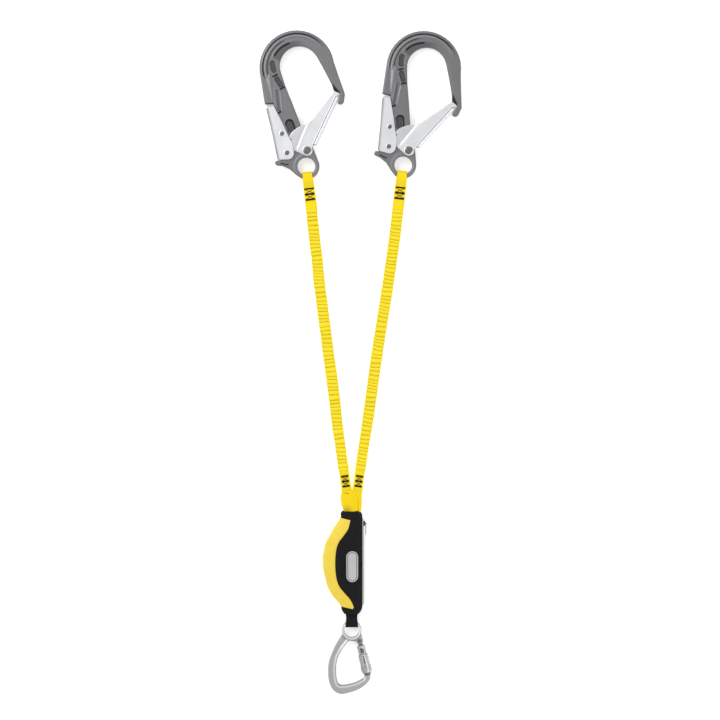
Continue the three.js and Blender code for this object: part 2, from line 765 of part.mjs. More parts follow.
function carabinerBody() {
  const half = CARABINER.thick / 2;
  const body = plate(carabinerOutline(), -half, half, 1.6);
  const keyShape = outline([
    onGate(barrelEnd - 1.8, 3), onGate(barrelEnd - 1.8, -3),
    onGate(barrelEnd + 3, -3), onGate(barrelEnd + 3, 3),
  ]);
  const footRoom = join(
    rodZ(gatePivotAt, 6.8, -3, 3, 24),
    plate(slotShape(gatePivotAt, onGate(14, -6), 10), -3, 3),
  );
  return join(cut(
    body,
    rodZ([0, 0], CARABINER.eyeHole, -20, 20, 32),
    rodZ(gatePivotAt, 2.3, -20, 20, 16),
    footRoom,
  ), plate(keyShape, -1.1, 1.1));
}

// Round solids of the gate are turned from [radius, reach] profiles along its line.
function turned(profile, sides = 20) {
  const points = profile.map(([radius, reach]) => new THREE.Vector2(radius, -reach));
  return new THREE.LatheGeometry(points.reverse(), sides);
}

function tube(inner, outer, from, to, sides = 20) {
  return turned([[inner, from], [outer, from], [outer, to], [inner, to], [inner, from]], sides);
}

function carabinerGate() {
  const { gateRadius } = CARABINER;
  const barrel = turned([
    [0, 6.8], [gateRadius - 1, 6.8], [gateRadius, 7.8], [gateRadius, barrelEnd - 2.4],
    [6.2, barrelEnd - 2], [6.2, barrelEnd - 0.6], [5.6, barrelEnd], [0, barrelEnd],
  ]);
  const foot = plate(slotShape([0, 0], [0, -5], 8), -2.6, 2.6);
  const bore = new THREE.CylinderGeometry(1.5, 1.5, 14, 12).translate(0, -7, 0);
  const keySlot = new THREE.BoxGeometry(20, 4.8, 3).translate(0, -barrelEnd, 0);
  return cut(join(barrel, foot), rodZ([0, 0], 2.3, -20, 20, 16), bore, keySlot);
}

function sleeveCollar() {
  const { gateRadius, collarRadius, collarEnd } = CARABINER;
  const ring = tube(gateRadius + GAP, collarRadius, 8.6, collarEnd);
  const window = new THREE.BoxGeometry(4.6, 7.6, 8).translate(0.4, 5.6 - collarEnd, collarRadius);
  return cut(ring, window);
}

function lockingSleeve() {
  const { gateRadius, collarRadius, sleeveRadius, collarEnd } = CARABINER;
  const start = collarEnd + 2 * GAP;
  const end = barrelEnd - 2.8;
  const wide = collarRadius + 0.35;
  const shell = turned([
    [wide, start], [sleeveRadius - 0.6, start], [sleeveRadius, start + 0.8], [sleeveRadius, end - 1],
    [sleeveRadius - 0.8, end], [gateRadius + 0.4, end], [gateRadius + 0.4, 38], [wide, 38],
    [wide, start],
  ]);
  const slot = new THREE.BoxGeometry(1.8, 19, 6).translate(0, -start - 14.5, sleeveRadius);
  const dot = rodZ([0, -start - 2.6], 1, 5, 12, 10);
  return cut(shell, slot, dot);
}

function buildCarabiner() {
  const group = new THREE.Group();
  group.position.set(CARABINER.eye[0], CARABINER.eye[1], carabinerHeight);
  lanyard.add(group);
  add('carabiner_body', 'steel', carabinerBody(), group);
  const gateGroup = new THREE.Group();
  gateGroup.position.set(gatePivotAt[0], gatePivotAt[1], 0);
  gateGroup.rotation.z = tiltRadians;
  group.add(gateGroup);
  const { thick, gateRadius, collarRadius } = CARABINER;
  const midway = (gateRadius + collarRadius) / 2 + 0.15;
  add('carabiner_gate_rivet', 'rivet', rivet([0, 0], 2, 3.4, thick / 2 + GAP, 0.9), gateGroup);
  add('carabiner_gate', 'steel', carabinerGate(), gateGroup);
  const plungerSpring = coil(0.8, 0.35, 2.8, 13, 4).rotateX(Math.PI / 2);
  add('carabiner_gate_spring', 'spring', plungerSpring, gateGroup);
  add('sleeve_collar', 'steel', sleeveCollar(), gateGroup);
  const sleeveSpring = coil(midway, 0.5, CARABINER.collarEnd + 0.4, 35.6, 4).rotateX(Math.PI / 2);
  add('sleeve_spring', 'spring', sleeveSpring, gateGroup);
  add('sleeve_thrust_ring', 'steel', tube(gateRadius + GAP, collarRadius, 36.2, 37.4), gateGroup);
  add('locking_sleeve', 'steel', lockingSleeve(), gateGroup);
}

buildCarabiner();

// The origin is the middle of the floor that the lanyard covers.
const extent = new THREE.Box3().setFromObject(lanyard, true);
const middle = extent.getCenter(new THREE.Vector3());
lanyard.position.set(-middle.x, -middle.y, -extent.min.z);

export default lanyard;
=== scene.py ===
import math
from functools import partial
import bpy
from mathutils import Matrix, Vector


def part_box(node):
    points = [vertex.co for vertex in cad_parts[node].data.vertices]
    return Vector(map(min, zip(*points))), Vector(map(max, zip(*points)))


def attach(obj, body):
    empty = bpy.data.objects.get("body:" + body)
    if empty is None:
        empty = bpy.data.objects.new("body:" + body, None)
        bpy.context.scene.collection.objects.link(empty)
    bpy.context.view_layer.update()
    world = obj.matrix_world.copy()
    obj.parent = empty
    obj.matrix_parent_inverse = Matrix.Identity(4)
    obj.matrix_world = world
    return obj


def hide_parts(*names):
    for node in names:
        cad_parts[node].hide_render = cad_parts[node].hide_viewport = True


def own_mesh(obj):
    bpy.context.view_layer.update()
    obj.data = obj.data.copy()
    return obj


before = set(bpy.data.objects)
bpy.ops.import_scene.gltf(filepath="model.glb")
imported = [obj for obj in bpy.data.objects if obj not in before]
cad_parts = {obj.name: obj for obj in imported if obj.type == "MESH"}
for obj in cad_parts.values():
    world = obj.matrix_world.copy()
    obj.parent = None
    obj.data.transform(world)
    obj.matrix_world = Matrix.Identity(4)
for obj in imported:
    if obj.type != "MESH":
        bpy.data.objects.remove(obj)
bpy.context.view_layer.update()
sides = ("left", "right")
millimetre = 0.001


# handling

def only(piece):
    bpy.ops.object.select_all(action="DESELECT")
    piece.select_set(True)
    bpy.context.view_layer.objects.active = piece
    return piece


def edit(piece, mode="VERT"):
    # edit mode with everything selected
    only(piece)
    bpy.ops.object.mode_set(mode="EDIT")
    bpy.ops.mesh.select_mode(type=mode)
    bpy.ops.mesh.select_all(action="SELECT")


def leaveEdit():
    bpy.ops.object.mode_set(mode="OBJECT")


def applied(piece, kind, **settings):
    # add one modifier, set it and apply it
    only(piece)
    modifier = piece.modifiers.new(kind.lower(), kind)
    for key, value in settings.items():
        setattr(modifier, key, value)
    bpy.ops.object.modifier_apply(modifier=modifier.name)
    return piece


def mergeClose(piece):
    edit(piece)
    bpy.ops.mesh.remove_doubles(threshold=0.00001)
    bpy.ops.mesh.normals_make_consistent(inside=False)
    leaveEdit()
    return piece


def smooth(piece, degrees=40):
    only(piece)
    bpy.ops.object.shade_smooth_by_angle(angle=math.radians(degrees))
    return piece


def joined(pieces):
    # several objects become the first one
    only(pieces[0])
    for piece in pieces:
        piece.select_set(True)
    bpy.ops.object.join()
    return pieces[0]


def copyOf(node, name):
    # a merged copy of a CAD node, with flat areas as single faces
    piece = bpy.data.objects.new(name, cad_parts[node].data.copy())
    bpy.context.collection.objects.link(piece)
    piece.data.materials.clear()
    mergeClose(piece)
    edit(piece)
    bpy.ops.mesh.dissolve_limited(angle_limit=math.radians(0.4))
    leaveEdit()
    return piece


def softened(piece, width, segments=2, angle=28):
    # rounded edges, as any made part has
    return applied(
        piece, "BEVEL", width=width, segments=segments, limit_method="ANGLE",
        angle_limit=math.radians(angle), use_clamp_overlap=True, harden_normals=False,
    )


def forged(piece, voxel, passes):
    # the soft edges of a forging or casting
    applied(piece, "REMESH", mode="VOXEL", voxel_size=voxel)
    applied(piece, "SMOOTH", factor=0.5, iterations=passes)
    return piece


def place(piece, body, slotName, material, *nodes):
    piece.data.materials.clear()
    piece.data.materials.append(material)
    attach(piece, body)
    if nodes:
        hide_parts(*nodes)
    return piece


def twinOf(piece):
    twin = piece.copy()
    twin.data = piece.data.copy()
    bpy.context.collection.objects.link(twin)
    return twin


def keepPaintedLight(piece, values):
    # one tone of painted light and shade per vertex, 0 in a recess (painted shade) to 1 on a ridge (painted
    # highlight), for the material to read
    tone = piece.data.attributes.new("relief", "FLOAT", "POINT")
    for index, value in enumerate(values):
        tone.data[index].value = value


def middleOf(node):
    low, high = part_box(node)
    return (Vector(low) + Vector(high)) / 2


def chance(seed):
    # a repeatable number from 0 to 1
    value = math.sin(seed * 12.9898 + 4.1) * 43758.5453
    return value - math.floor(value)


# shape formulas

def bell(distance, width):
    # 1 on the line, falling smoothly to 0 at width
    ratio = min(abs(distance) / width, 1)
    return (1 - ratio * ratio) ** 2


def step(value, low, high):
    # 0 below low, 1 above high
    ratio = min(max((value - low) / (high - low), 0), 1)
    return ratio * ratio * (3 - 2 * ratio)


def fromSegment(x, y, start, end):
    # distance from a segment, and how far along it, 0 to 1
    run = (end[0] - start[0], end[1] - start[1])
    size = run[0] ** 2 + run[1] ** 2
    t = min(max(((x - start[0]) * run[0] + (y - start[1]) * run[1]) / size, 0), 1)
    return math.hypot(x - start[0] - t * run[0], y - start[1] - t * run[1]), t


# materials

def tint(red, green, blue):
    # screen colour, 0 to 255, as the shader's linear one
    return tuple(((value / 255) ** 2.2) for value in (red, green, blue)) + (1,)


def setInputs(node, **inputs):
    for key, value in inputs.items():
        node.inputs[key.replace("_", " ")].default_value = value


def newMaterial(name, color, roughness, metallic=0.0, sheen=0.0):
    material = bpy.data.materials.new(name)
    material.use_nodes = True
    setInputs(
        material.node_tree.nodes["Principled BSDF"], Base_Color=color, Roughness=roughness,
        Metallic=metallic, Sheen_Weight=sheen, Sheen_Roughness=0.4,
    )
    return material


def put(tree, kind, **inputs):
    node = tree.nodes.new(kind)
    setInputs(node, **inputs)
    return node


def maths(tree, operation, first, second=None):
    node = tree.nodes.new("ShaderNodeMath")
    node.operation = operation
    for index, value in enumerate((first, second)):
        if value is None:
            continue
        if isinstance(value, (int, float)):
            node.inputs[index].default_value = value
        else:
            tree.links.new(value, node.inputs[index])
    return node.outputs[0]


def newGroup(name, inputs, outputs):
    # a shader group with its sockets, and its two end nodes
    group = bpy.data.node_groups.new(name, "ShaderNodeTree")
    for label, kind, value in inputs:
        socket = group.interface.new_socket(name=label, in_out="INPUT", socket_type="NodeSocket" + kind)
        if value is not None:
            socket.default_value = value
    for label, kind in outputs:
        group.interface.new_socket(name=label, in_out="OUTPUT", socket_type="NodeSocket" + kind)
    return group, group.nodes.new("NodeGroupInput"), group.nodes.new("NodeGroupOutput")


def mixColor(tree, factor, first, second, blend="MIX"):
    node = tree.nodes.new("ShaderNodeMix")
    node.data_type = "RGBA"
    node.blend_type = blend
    for socket, value in ((node.inputs[0], factor), (node.inputs[6], first), (node.inputs[7], second)):
        if isinstance(value, (int, float, tuple)):
            socket.default_value = value
        else:
            tree.links.new(value, socket)
    return node.outputs[2]


def weaveGroup():
    # plain weave: warp ribs crossed by weft, on a surface's own two coordinates in metres
    group, start, end = newGroup(
        "weave",
        [("Vector", "Vector", None), ("Warp", "Float", 0.0012),
         ("Weft", "Float", 0.0016), ("Light", "Color", (1, 1, 1, 1)),
         ("Dark", "Color", (0.5, 0.5, 0.5, 1)), ("Soil", "Float", 0.1)],
        [("Color", "Color"), ("Height", "Float")],
    )
    link = group.links.new
    calc = partial(maths, group)
    split = group.nodes.new("ShaderNodeSeparateXYZ")
    link(start.outputs["Vector"], split.inputs[0])
    across = calc("DIVIDE", split.outputs[0], start.outputs["Warp"])
    along = calc("DIVIDE", split.outputs[1], start.outputs["Weft"])
    row = calc("FLOOR", along)
    stagger = calc("MULTIPLY", calc("MODULO", row, 2), 0.5)
    ribTurn = calc("MULTIPLY", calc("ADD", across, stagger), math.pi)
    rib = calc("ABSOLUTE", calc("SINE", ribTurn))
    pickTurn = calc("MULTIPLY", along, math.pi)
    pick = calc("ABSOLUTE", calc("SINE", pickTurn))
    height = calc("MULTIPLY", calc("POWER", rib, 0.6), calc("POWER", pick, 0.5))
    cloud = put(group, "ShaderNodeTexNoise", Scale=60, Detail=3)
    link(start.outputs["Vector"], cloud.inputs["Vector"])
    clouded = calc("MULTIPLY", cloud.outputs[0], 0.3)
    # painted shade of the weave: thread crowns lighter, gaps between threads darker, with a cloudy tone
    # over it
    shade = calc("ADD", calc("MULTIPLY", height, 0.75), clouded)
    woven = mixColor(group, shade, start.outputs["Dark"], start.outputs["Light"])
    patch = put(group, "ShaderNodeTexNoise", Scale=9, Detail=5)
    link(start.outputs["Vector"], patch.inputs["Vector"])
    soiled = calc("MULTIPLY", calc("POWER", patch.outputs[0], 2), start.outputs["Soil"])
    link(mixColor(group, soiled, woven, start.outputs["Dark"]), end.inputs["Color"])
    link(height, end.inputs["Height"])
    return group


def wearGroup():
    # metal: a fine grain, cloudy roughness and small bright scuffs
    group, start, end = newGroup(
        "metalWear",
        [("Vector", "Vector", None), ("Color", "Color", (0.5, 0.5, 0.5, 1)),
         ("Scuff", "Color", (0.8, 0.8, 0.8, 1)), ("Roughness", "Float", 0.4),
         ("Grain", "Float", 400.0), ("Amount", "Float", 0.3)],
        [("Color", "Color"), ("Roughness", "Float"), ("Height", "Float")],
    )
    link = group.links.new
    calc = partial(maths, group)
    grain = put(group, "ShaderNodeTexNoise", Detail=4)
    link(start.outputs["Vector"], grain.inputs["Vector"])
    link(start.outputs["Grain"], grain.inputs["Scale"])
    cloud = put(group, "ShaderNodeTexNoise", Scale=35, Detail=5)
    link(start.outputs["Vector"], cloud.inputs["Vector"])
    scratch = put(group, "ShaderNodeTexNoise", Scale=180, Detail=8, Roughness=0.75)
    link(start.outputs["Vector"], scratch.inputs["Vector"])
    scratched = calc("MULTIPLY", scratch.outputs[0], cloud.outputs[0])
    marks = calc("GREATER_THAN", scratched, 0.36)
    amount = calc("MULTIPLY", marks, start.outputs["Amount"])
    grained = calc("MULTIPLY", grain.outputs[0], 0.25)
    toned = mixColor(group, grained, start.outputs["Color"], start.outputs["Scuff"])
    link(mixColor(group, amount, toned, start.outputs["Scuff"]), end.inputs["Color"])
    uneven = calc("MULTIPLY", calc("SUBTRACT", cloud.outputs[0], 0.5), 0.35)
    rough = calc("ADD", start.outputs["Roughness"], uneven)
    link(rough, end.inputs["Roughness"])
    link(calc("ADD", grain.outputs[0], amount), end.inputs["Height"])
    return group


weave = weaveGroup()
metalWear = wearGroup()


def useBump(tree, height, strength, distance):
    bump = put(tree, "ShaderNodeBump", Strength=strength, Distance=distance)
    tree.links.new(height, bump.inputs["Height"])
    tree.links.new(bump.outputs[0], tree.nodes["Principled BSDF"].inputs["Normal"])


def coordinates(tree, fromUv):
    if fromUv:
        source = tree.nodes.new("ShaderNodeUVMap")
        source.uv_map = "cloth"
        return source.outputs[0]
    return tree.nodes.new("ShaderNodeTexCoord").outputs["Object"]


def clothMaterial(name, light, dark, warp, weft, soil=0.15, fromUv=True, sheen=0.25):
    # woven cloth, with its thread spacings in metres
    material = newMaterial(name, light, 0.85, sheen=sheen)
    tree = material.node_tree
    node = tree.nodes.new("ShaderNodeGroup")
    node.node_tree = weave
    setInputs(node, Warp=warp, Weft=weft, Light=light, Dark=dark, Soil=soil)
    tree.links.new(coordinates(tree, fromUv), node.inputs["Vector"])
    tree.links.new(node.outputs["Color"], tree.nodes["Principled BSDF"].inputs["Base Color"])
    tree.nodes["Principled BSDF"].inputs["Specular IOR Level"].default_value = 0.25
    useBump(tree, node.outputs["Height"], 0.7, 0.0003)
    return material


def metalMaterial(name, color, scuff, roughness, grain, amount, metallic=0.9):
    # metal or moulded plastic, worn by the shared group
    material = newMaterial(name, color, roughness, metallic)
    tree = material.node_tree
    node = tree.nodes.new("ShaderNodeGroup")
    node.node_tree = metalWear
    setInputs(node, Color=color, Scuff=scuff, Roughness=roughness, Grain=grain, Amount=amount)
    tree.links.new(coordinates(tree, False), node.inputs["Vector"])
    shader = tree.nodes["Principled BSDF"]
    tree.links.new(node.outputs["Color"], shader.inputs["Base Color"])
    tree.links.new(node.outputs["Roughness"], shader.inputs["Roughness"])
    useBump(tree, node.outputs["Height"], 0.5, 0.00005)
    return material


def paintedLightAndShade(material, low, plain=0.72):
    # painted shade in the recesses and a painted highlight on the ridges, from the piece's own relief
    # attribute
    tree = material.node_tree
    shader = tree.nodes["Principled BSDF"]
    source = shader.inputs["Base Color"].links[0].from_socket
    relief = tree.nodes.new("ShaderNodeAttribute")
    relief.attribute_name = "relief"
    ramp = tree.nodes.new("ShaderNodeValToRGB")
    ramp.color_ramp.elements[0].position = 0.08
    ramp.color_ramp.elements[0].color = low
    ramp.color_ramp.elements[1].position = 0.8
    ramp.color_ramp.elements[1].color = (1, 1, 1, 1)
    middle = ramp.color_ramp.elements.new(0.5)
    middle.color = (plain, plain, plain, 1)
    tree.links.new(relief.outputs["Fac"], ramp.inputs[0])
    tree.links.new(mixColor(tree, 1.0, source, ramp.outputs[0], "MULTIPLY"), shader.inputs["Base Color"])
    return material


finishes = {
    # the arms' fold valleys painted darker, as painted shade
    "arm": paintedLightAndShade(
        clothMaterial(
            "armWebbing", tint(255, 238, 60), tint(232, 198, 16), 0.0011, 0.0013, 0.1, sheen=0.04),
        (0.58, 0.5, 0.2, 1), 0.93),
    "loop": clothMaterial(
        "loopWebbing", tint(253, 230, 36), tint(226, 186, 12), 0.0013, 0.0011, 0.25, sheen=0.04),
    "panel": clothMaterial(
        "panelCloth", tint(252, 227, 96), tint(228, 190, 56), 0.0007, 0.0007, fromUv=False, sheen=0.1),
    "pouch": clothMaterial(
        "pouchCloth", tint(30, 28, 32), tint(9, 8, 10), 0.0009, 0.0009, fromUv=False, sheen=0.02),
    "blackWeb": clothMaterial("blackWebbing", tint(30, 29, 33), tint(8, 8, 10), 0.0013, 0.0012, sheen=0.02),
    # the absorber loop, with painted shade from its own tones
    "fold": paintedLightAndShade(
        clothMaterial(
            "foldedWebbing", tint(253, 231, 34), tint(228, 180, 12), 0.0012, 0.0012, 0.4, False,
            sheen=0.04),
        (0.5, 0.3, 0.1, 1), 0.86),
    "panelSeam": clothMaterial(
        "panelThread", tint(214, 176, 40), tint(170, 132, 20), 0.0004, 0.0004, fromUv=False),
    "thread": clothMaterial(
        "tackThread", tint(40, 36, 22), tint(10, 9, 6), 0.0004, 0.0004, fromUv=False, sheen=0.1),
    "seam": clothMaterial(
        "seamThread", tint(70, 68, 72), tint(30, 29, 32), 0.0004, 0.0004, fromUv=False, sheen=0.1),
    # a dark ring of painted shade inside the patch's raised rim
    "patch": paintedLightAndShade(
        clothMaterial(
            "blankPatch", tint(206, 206, 208), tint(170, 170, 172), 0.0005, 0.0005,
            fromUv=False, sheen=0.05),
        (0.04, 0.04, 0.05, 1), 0.5),
    # forging and sheet: painted shade in recesses and on side walls, painted highlight on ridges
    "forging": paintedLightAndShade(
        metalMaterial("anodisedForging", tint(126, 126, 128), tint(164, 164, 168), 0.42, 260, 0.06, 0.6),
        (0.06, 0.06, 0.065, 1)),
    "sheet": paintedLightAndShade(
        metalMaterial("platedSheet", tint(238, 239, 242), tint(250, 250, 252), 0.32, 220, 0.06, 0.55),
        (0.2, 0.2, 0.21, 1), 0.78),
    "rivet": metalMaterial("oiledRivet", tint(104, 102, 102), tint(150, 148, 148), 0.35, 500, 0.15),
    "wire": metalMaterial("springWire", tint(170, 171, 174), tint(220, 220, 222), 0.3, 700, 0.1),
    # painted reflection on the carabiner's bevels, painted shade along their edges
    "steel": paintedLightAndShade(
        metalMaterial("satinSteel", tint(212, 212, 213), tint(238, 238, 239), 0.36, 240, 0.12, 0.55),
        (0.2, 0.2, 0.2, 1), 0.56),
    "sleeve": metalMaterial("sleeveSteel", tint(180, 180, 181), tint(228, 228, 230), 0.32, 300, 0.16, 0.75),
    # darker steel, also used as painted shade: the gate seen through the collar's window, and the sleeve's
    # flutes
    "darkSteelAndShade": metalMaterial("darkSteelAndShade", tint(126, 126, 128), tint(170, 170, 172), 0.4, 400, 0.1),
    "zip": metalMaterial("mouldedZip", tint(38, 38, 41), tint(70, 70, 72), 0.5, 500, 0.05, 0.0),
}
print("materials made", len(finishes))


# camera, light and floor

def setStage():
    view = {"wide": 1.1664, "away": 4.0, "centreX": -0.001, "centreY": 0.004, "sensor": 36}
    bpy.ops.object.camera_add(location=(view["centreX"], view["centreY"], view["away"]))
    camera = bpy.context.object
    camera.data.sensor_width = view["sensor"]
    camera.data.lens = view["sensor"] * (view["away"] - 0.012) / view["wide"]
    camera.data.clip_end = 20
    bpy.context.scene.camera = camera
    bpy.ops.mesh.primitive_plane_add(size=30, location=(0, 0, -0.0004))
    floor = bpy.context.object
    floor.name = "floor"
    pale = newMaterial("paleFloor", (0.92, 0.92, 0.92, 1), 0.9)
    shader = pale.node_tree.nodes["Principled BSDF"]
    setInputs(shader, Emission_Color=(1, 1, 1, 1), Emission_Strength=0.42)
    floor.data.materials.append(pale)
    lamps = [((-1.4, 1.2, 2.6), 1.6, 34), ((1.7, -0.9, 2.4), 1.8, 18), ((0.3, 2.4, 1.3), 1.2, 8)]
    for spot, size, power in lamps:
        bpy.ops.object.light_add(type="AREA", location=spot)
        lamp = bpy.context.object
        lamp.data.size = size
        lamp.data.energy = power
        lamp.rotation_euler = (Vector((0, 0, 0)) - Vector(spot)).to_track_quat("-Z", "Y").to_euler()
    world = bpy.data.worlds.new("studio")
    world.use_nodes = True
    setInputs(world.node_tree.nodes["Background"], Color=(1, 1, 1, 1), Strength=0.72)
    bpy.context.scene.world = world
    bpy.context.scene.view_settings.view_transform = "Standard"


setStage()
print("stage set")


# webbing, swept along a route

partShift = Vector((-0.1146, -0.4925, 0)) * millimetre  # the frame's origin is the part's middle


def inMetres(points):
    return [Vector(point) * millimetre + partShift for point in points]


def smoothRoute(points, spacing):
    # evenly spaced places along a smooth curve through the points
    ends = [2 * points[0] - points[1]] + points + [2 * points[-1] - points[-2]]
    dense = []
    for before, start, end, after in zip(ends, ends[1:], ends[2:], ends[3:]):
        for part in range(24):
            t = part / 24
            dense.append(0.5 * (
                2 * start + (end - before) * t + (2 * before - 5 * start + 4 * end - after) * t * t
                + (3 * start - before - 3 * end + after) * t * t * t
            ))
    dense.append(points[-1])
    reach = [0.0]
    for first, second in zip(dense, dense[1:]):
        reach.append(reach[-1] + (second - first).length)
    count = max(2, round(reach[-1] / spacing))
    places = []
    index = 0
    for part in range(count + 1):
        target = reach[-1] * part / count
        while index < len(reach) - 2 and reach[index + 1] < target:
            index += 1
        span = reach[index + 1] - reach[index]
        places.append(dense[index].lerp(dense[index + 1], (target - reach[index]) / span))
    return places


def gridPiece(name, columns, rows, placeAt, size, paintedShadeAt):
    # a grid whose point (u, v), each 0 to 1, goes to placeAt(u, v); joined along u and capped
    bpy.ops.mesh.primitive_grid_add(x_subdivisions=columns, y_subdivisions=rows, size=1)
    piece = bpy.context.object
    piece.name = name
    spread = piece.data.uv_layers.new(name="cloth")
    flat = [(vertex.co.x + 0.5, vertex.co.y + 0.5) for vertex in piece.data.vertices]
    for loop in piece.data.loops:
        u, v = flat[loop.vertex_index]
        spread.data[loop.index].uv = (u * size[0], v * size[1])
    for vertex, (u, v) in zip(piece.data.vertices, flat):
        vertex.co = placeAt(u, v)
    # each point's tone of painted shade, kept for the material
    if paintedShadeAt:
        keepPaintedLight(piece, [paintedShadeAt(u, v) for u, v in flat])
    edit(piece)
    bpy.ops.mesh.remove_doubles(threshold=0.000002)
    bpy.ops.mesh.select_all(action="DESELECT")
    bpy.ops.mesh.select_non_manifold()
    bpy.ops.mesh.edge_face_add()
    bpy.ops.mesh.select_all(action="SELECT")
    bpy.ops.mesh.normals_make_consistent(inside=False)
    leaveEdit()
    return piece


def flatSection(u, halfWidth, halfThick, squareness):
    # a flat strap's section: an oval squared off towards a rectangle
    angle = 2 * math.pi * u
    across = math.copysign(abs(math.cos(angle)) ** squareness, math.cos(angle))
    high = math.copysign(abs(math.sin(angle)) ** squareness, math.sin(angle))
    return halfWidth * across, halfThick * high


def framesAlong(route, sideways=None):
    # at each place: the strap's own sideways and outward directions, level or as given
    frames = []
    for index, spot in enumerate(route):
        before = route[max(index - 1, 0)]
        after = route[min(index + 1, len(route) - 1)]
        along = (after - before).normalized()
        across = sideways or Vector((0, 0, 1)).cross(along).normalized()
        frames.append((spot, across, along.cross(across)))
    return frames


def strap(name, route, width, columns, sectionAt, frames=None, paintedShadeAt=None):
    # webbing along a route, whose section is sectionAt(u, v)
    frames = frames or framesAlong(route)
    rows = len(frames) - 1
    length = sum((b[0] - a[0]).length for a, b in zip(frames, frames[1:]))

    def placeAt(u, v):
        spot, across, outward = frames[round(v * rows)]
        x, z = sectionAt(u, v)
        return spot + across * x + outward * z

    return gridPiece(name, columns, rows, placeAt, (2 * width, length), paintedShadeAt)


# arms

ruche = {
    "width": 0.0186, "thick": 0.0076, "pitch": 0.0064, "spacing": 0.0007, "scallop": 0.0017,
    "fold": 0.0024, "end": 0.012,
}
routes = {
    "left": [
        (-79.3, 249, 10.7), (-78, 231, 10), (-75.8, 212, 6.5), (-73.6, 192, 4.6),
        (-71, 172, 4.2), (-67.2, 133, 4.2), (-62.4, 94, 4.2), (-57.4, 56, 4.2), (-52.4, 17, 4.2),
        (-47, -22, 4.2), (-42, -61, 4.2), (-37.8, -100, 5.5), (-34, -126, 8.5), (-31.4, -146, 11.5),
        (-28.8, -164, 14), (-27.2, -175, 15),
    ],
    "right": [
        (60.6, 249, 10.7), (58.6, 231, 10), (56.4, 212, 6.5), (53.8, 192, 4.6),
        (51, 172, 4.2), (45.4, 133, 4.2), (39.4, 94, 4.2), (33.2, 56, 4.2), (27.2, 17, 4.2),
        (21.6, -22, 4.2), (16.4, -61, 4.2), (10.8, -100, 5.5), (6.6, -126, 8.5), (3.6, -146, 11.5),
        (1, -164, 14), (-0.6, -175, 15),
    ],
}
hookHeight = middleOf("left_hook_body").z


def ruchedArm(side):
    # webbing gathered over its elastic: close uneven folds, with scalloped edges
    points = [(x, y, hookHeight / millimetre if index == 0 else z)
              for index, (x, y, z) in enumerate(routes[side])]
    route = smoothRoute(inMetres(points), ruche["spacing"])
    length = sum((b - a).length for a, b in zip(route, route[1:]))
    seed = 3 if side == "left" else 8
    gathers = [0.0]
    while gathers[-1] < length + ruche["pitch"]:
        gathers.append(gathers[-1] + ruche["pitch"] * (0.72 + 0.56 * chance(seed + len(gathers))))

    def foldAt(reach, u):
        # 0 in a valley, 1 on a crest; folds lean and wander a little across the width
        lean = 0.0011 * math.sin(2 * math.pi * u + 9 * reach / length * 5)
        lean += 0.0006 * math.sin(4 * math.pi * u + seed)
        reach = min(max(reach + lean, 0), length)
        index = max(i for i, gather in enumerate(gathers) if gather <= reach)
        inside = (reach - gathers[index]) / (gathers[index + 1] - gathers[index])
        height = 0.65 + 0.35 * chance(seed * 7 + index)
        return math.sin(math.pi * inside) ** 0.55 * height

    def sectionAt(u, v):
        reach = v * length
        fold = foldAt(reach, u)
        fade = min(1, reach / ruche["end"], (length - reach) / ruche["end"])
        narrow = 1 - 0.1 * step(v, 0.72, 0.98)
        halfWidth = ruche["width"] / 2 * narrow + ruche["scallop"] * (fold - 0.75) * (0.3 + 0.7 * fade)
        halfThick = ruche["thick"] / 2 * (0.74 + 0.26 * fade) + ruche["fold"] * (fold - 0.85) * fade
        return flatSection(u, halfWidth, halfThick, 0.55)

    # painted shade: fold valleys darker, crests lighter
    def paintedShadeAt(u, v):
        return 0.05 + 0.95 * foldAt(v * length, u) ** 1.3

    arm = strap(f"{side}RuchedWebbing", route, ruche["width"], 36, sectionAt, paintedShadeAt=paintedShadeAt)
    smooth(arm, 60)
    place(arm, f"{side}_arm", "yellow_webbing", finishes["arm"], f"{side}_arm_sleeve", f"{side}_arm_core")


for side in sides:
    ruchedArm(side)
print("arms made")


# hooks, modelled once about the eye's centre with the bow towards +Y, in millimetres

hookPlaces = {
    "left": {"eye": (-87.8, 318.2), "turn": 5.5},
    "right": {"eye": (69, 320), "turn": -12},
}
hookShape = {
    "half": 7.0, "bowY": 160, "rimGroove": 54.8, "ridge": 51.6, "innerGroove": 48.4, "pocketArc": 40.7,
    "gatePivot": (3.8, 25), "leverPivot": (-29, 24), "stopPin": (-34, 55.6),
}


# pockets and slots in the forging: rise, two ends of the middle line, radius
hookPockets = [
    (-1.1, (-38.6, 171), (-37, 159), 4.6), (0.9, (-38.6, 170), (-37, 160), 3.2),
    (-1.7, (-39.5, 149), (-32.8, 152), 1.5), (-1.7, (-29.8, 127.8), (-22.6, 130.6), 1.5),
    (-0.8, (-34, 145), (-28.6, 134), 4.4), (0.65, (-33.8, 144.4), (-28.8, 134.8), 3.2),
    (-1.6, (-37.5, 89), (-33, 91.5), 1.7), (-1.3, (-20.6, 71.5), (-17.6, 60), 7.2),
    (1.15, (-21.4, 68.5), (-18.4, 58), 5.3), (-1.2, (-40.5, 8), (-29, 5), 1.2),
]


def hookMatrix(side):
    eye = Vector((*hookPlaces[side]["eye"], 0)) * millimetre + partShift
    eye.z = hookHeight
    return Matrix.Translation(eye) @ Matrix.Rotation(math.radians(hookPlaces[side]["turn"]), 4, "Z")


def hookCopy(node):
    # the left hook's CAD node, moved into the hook's own frame
    piece = copyOf(f"left_{node}", node)
    piece.data.transform(hookMatrix("left").inverted())
    return piece


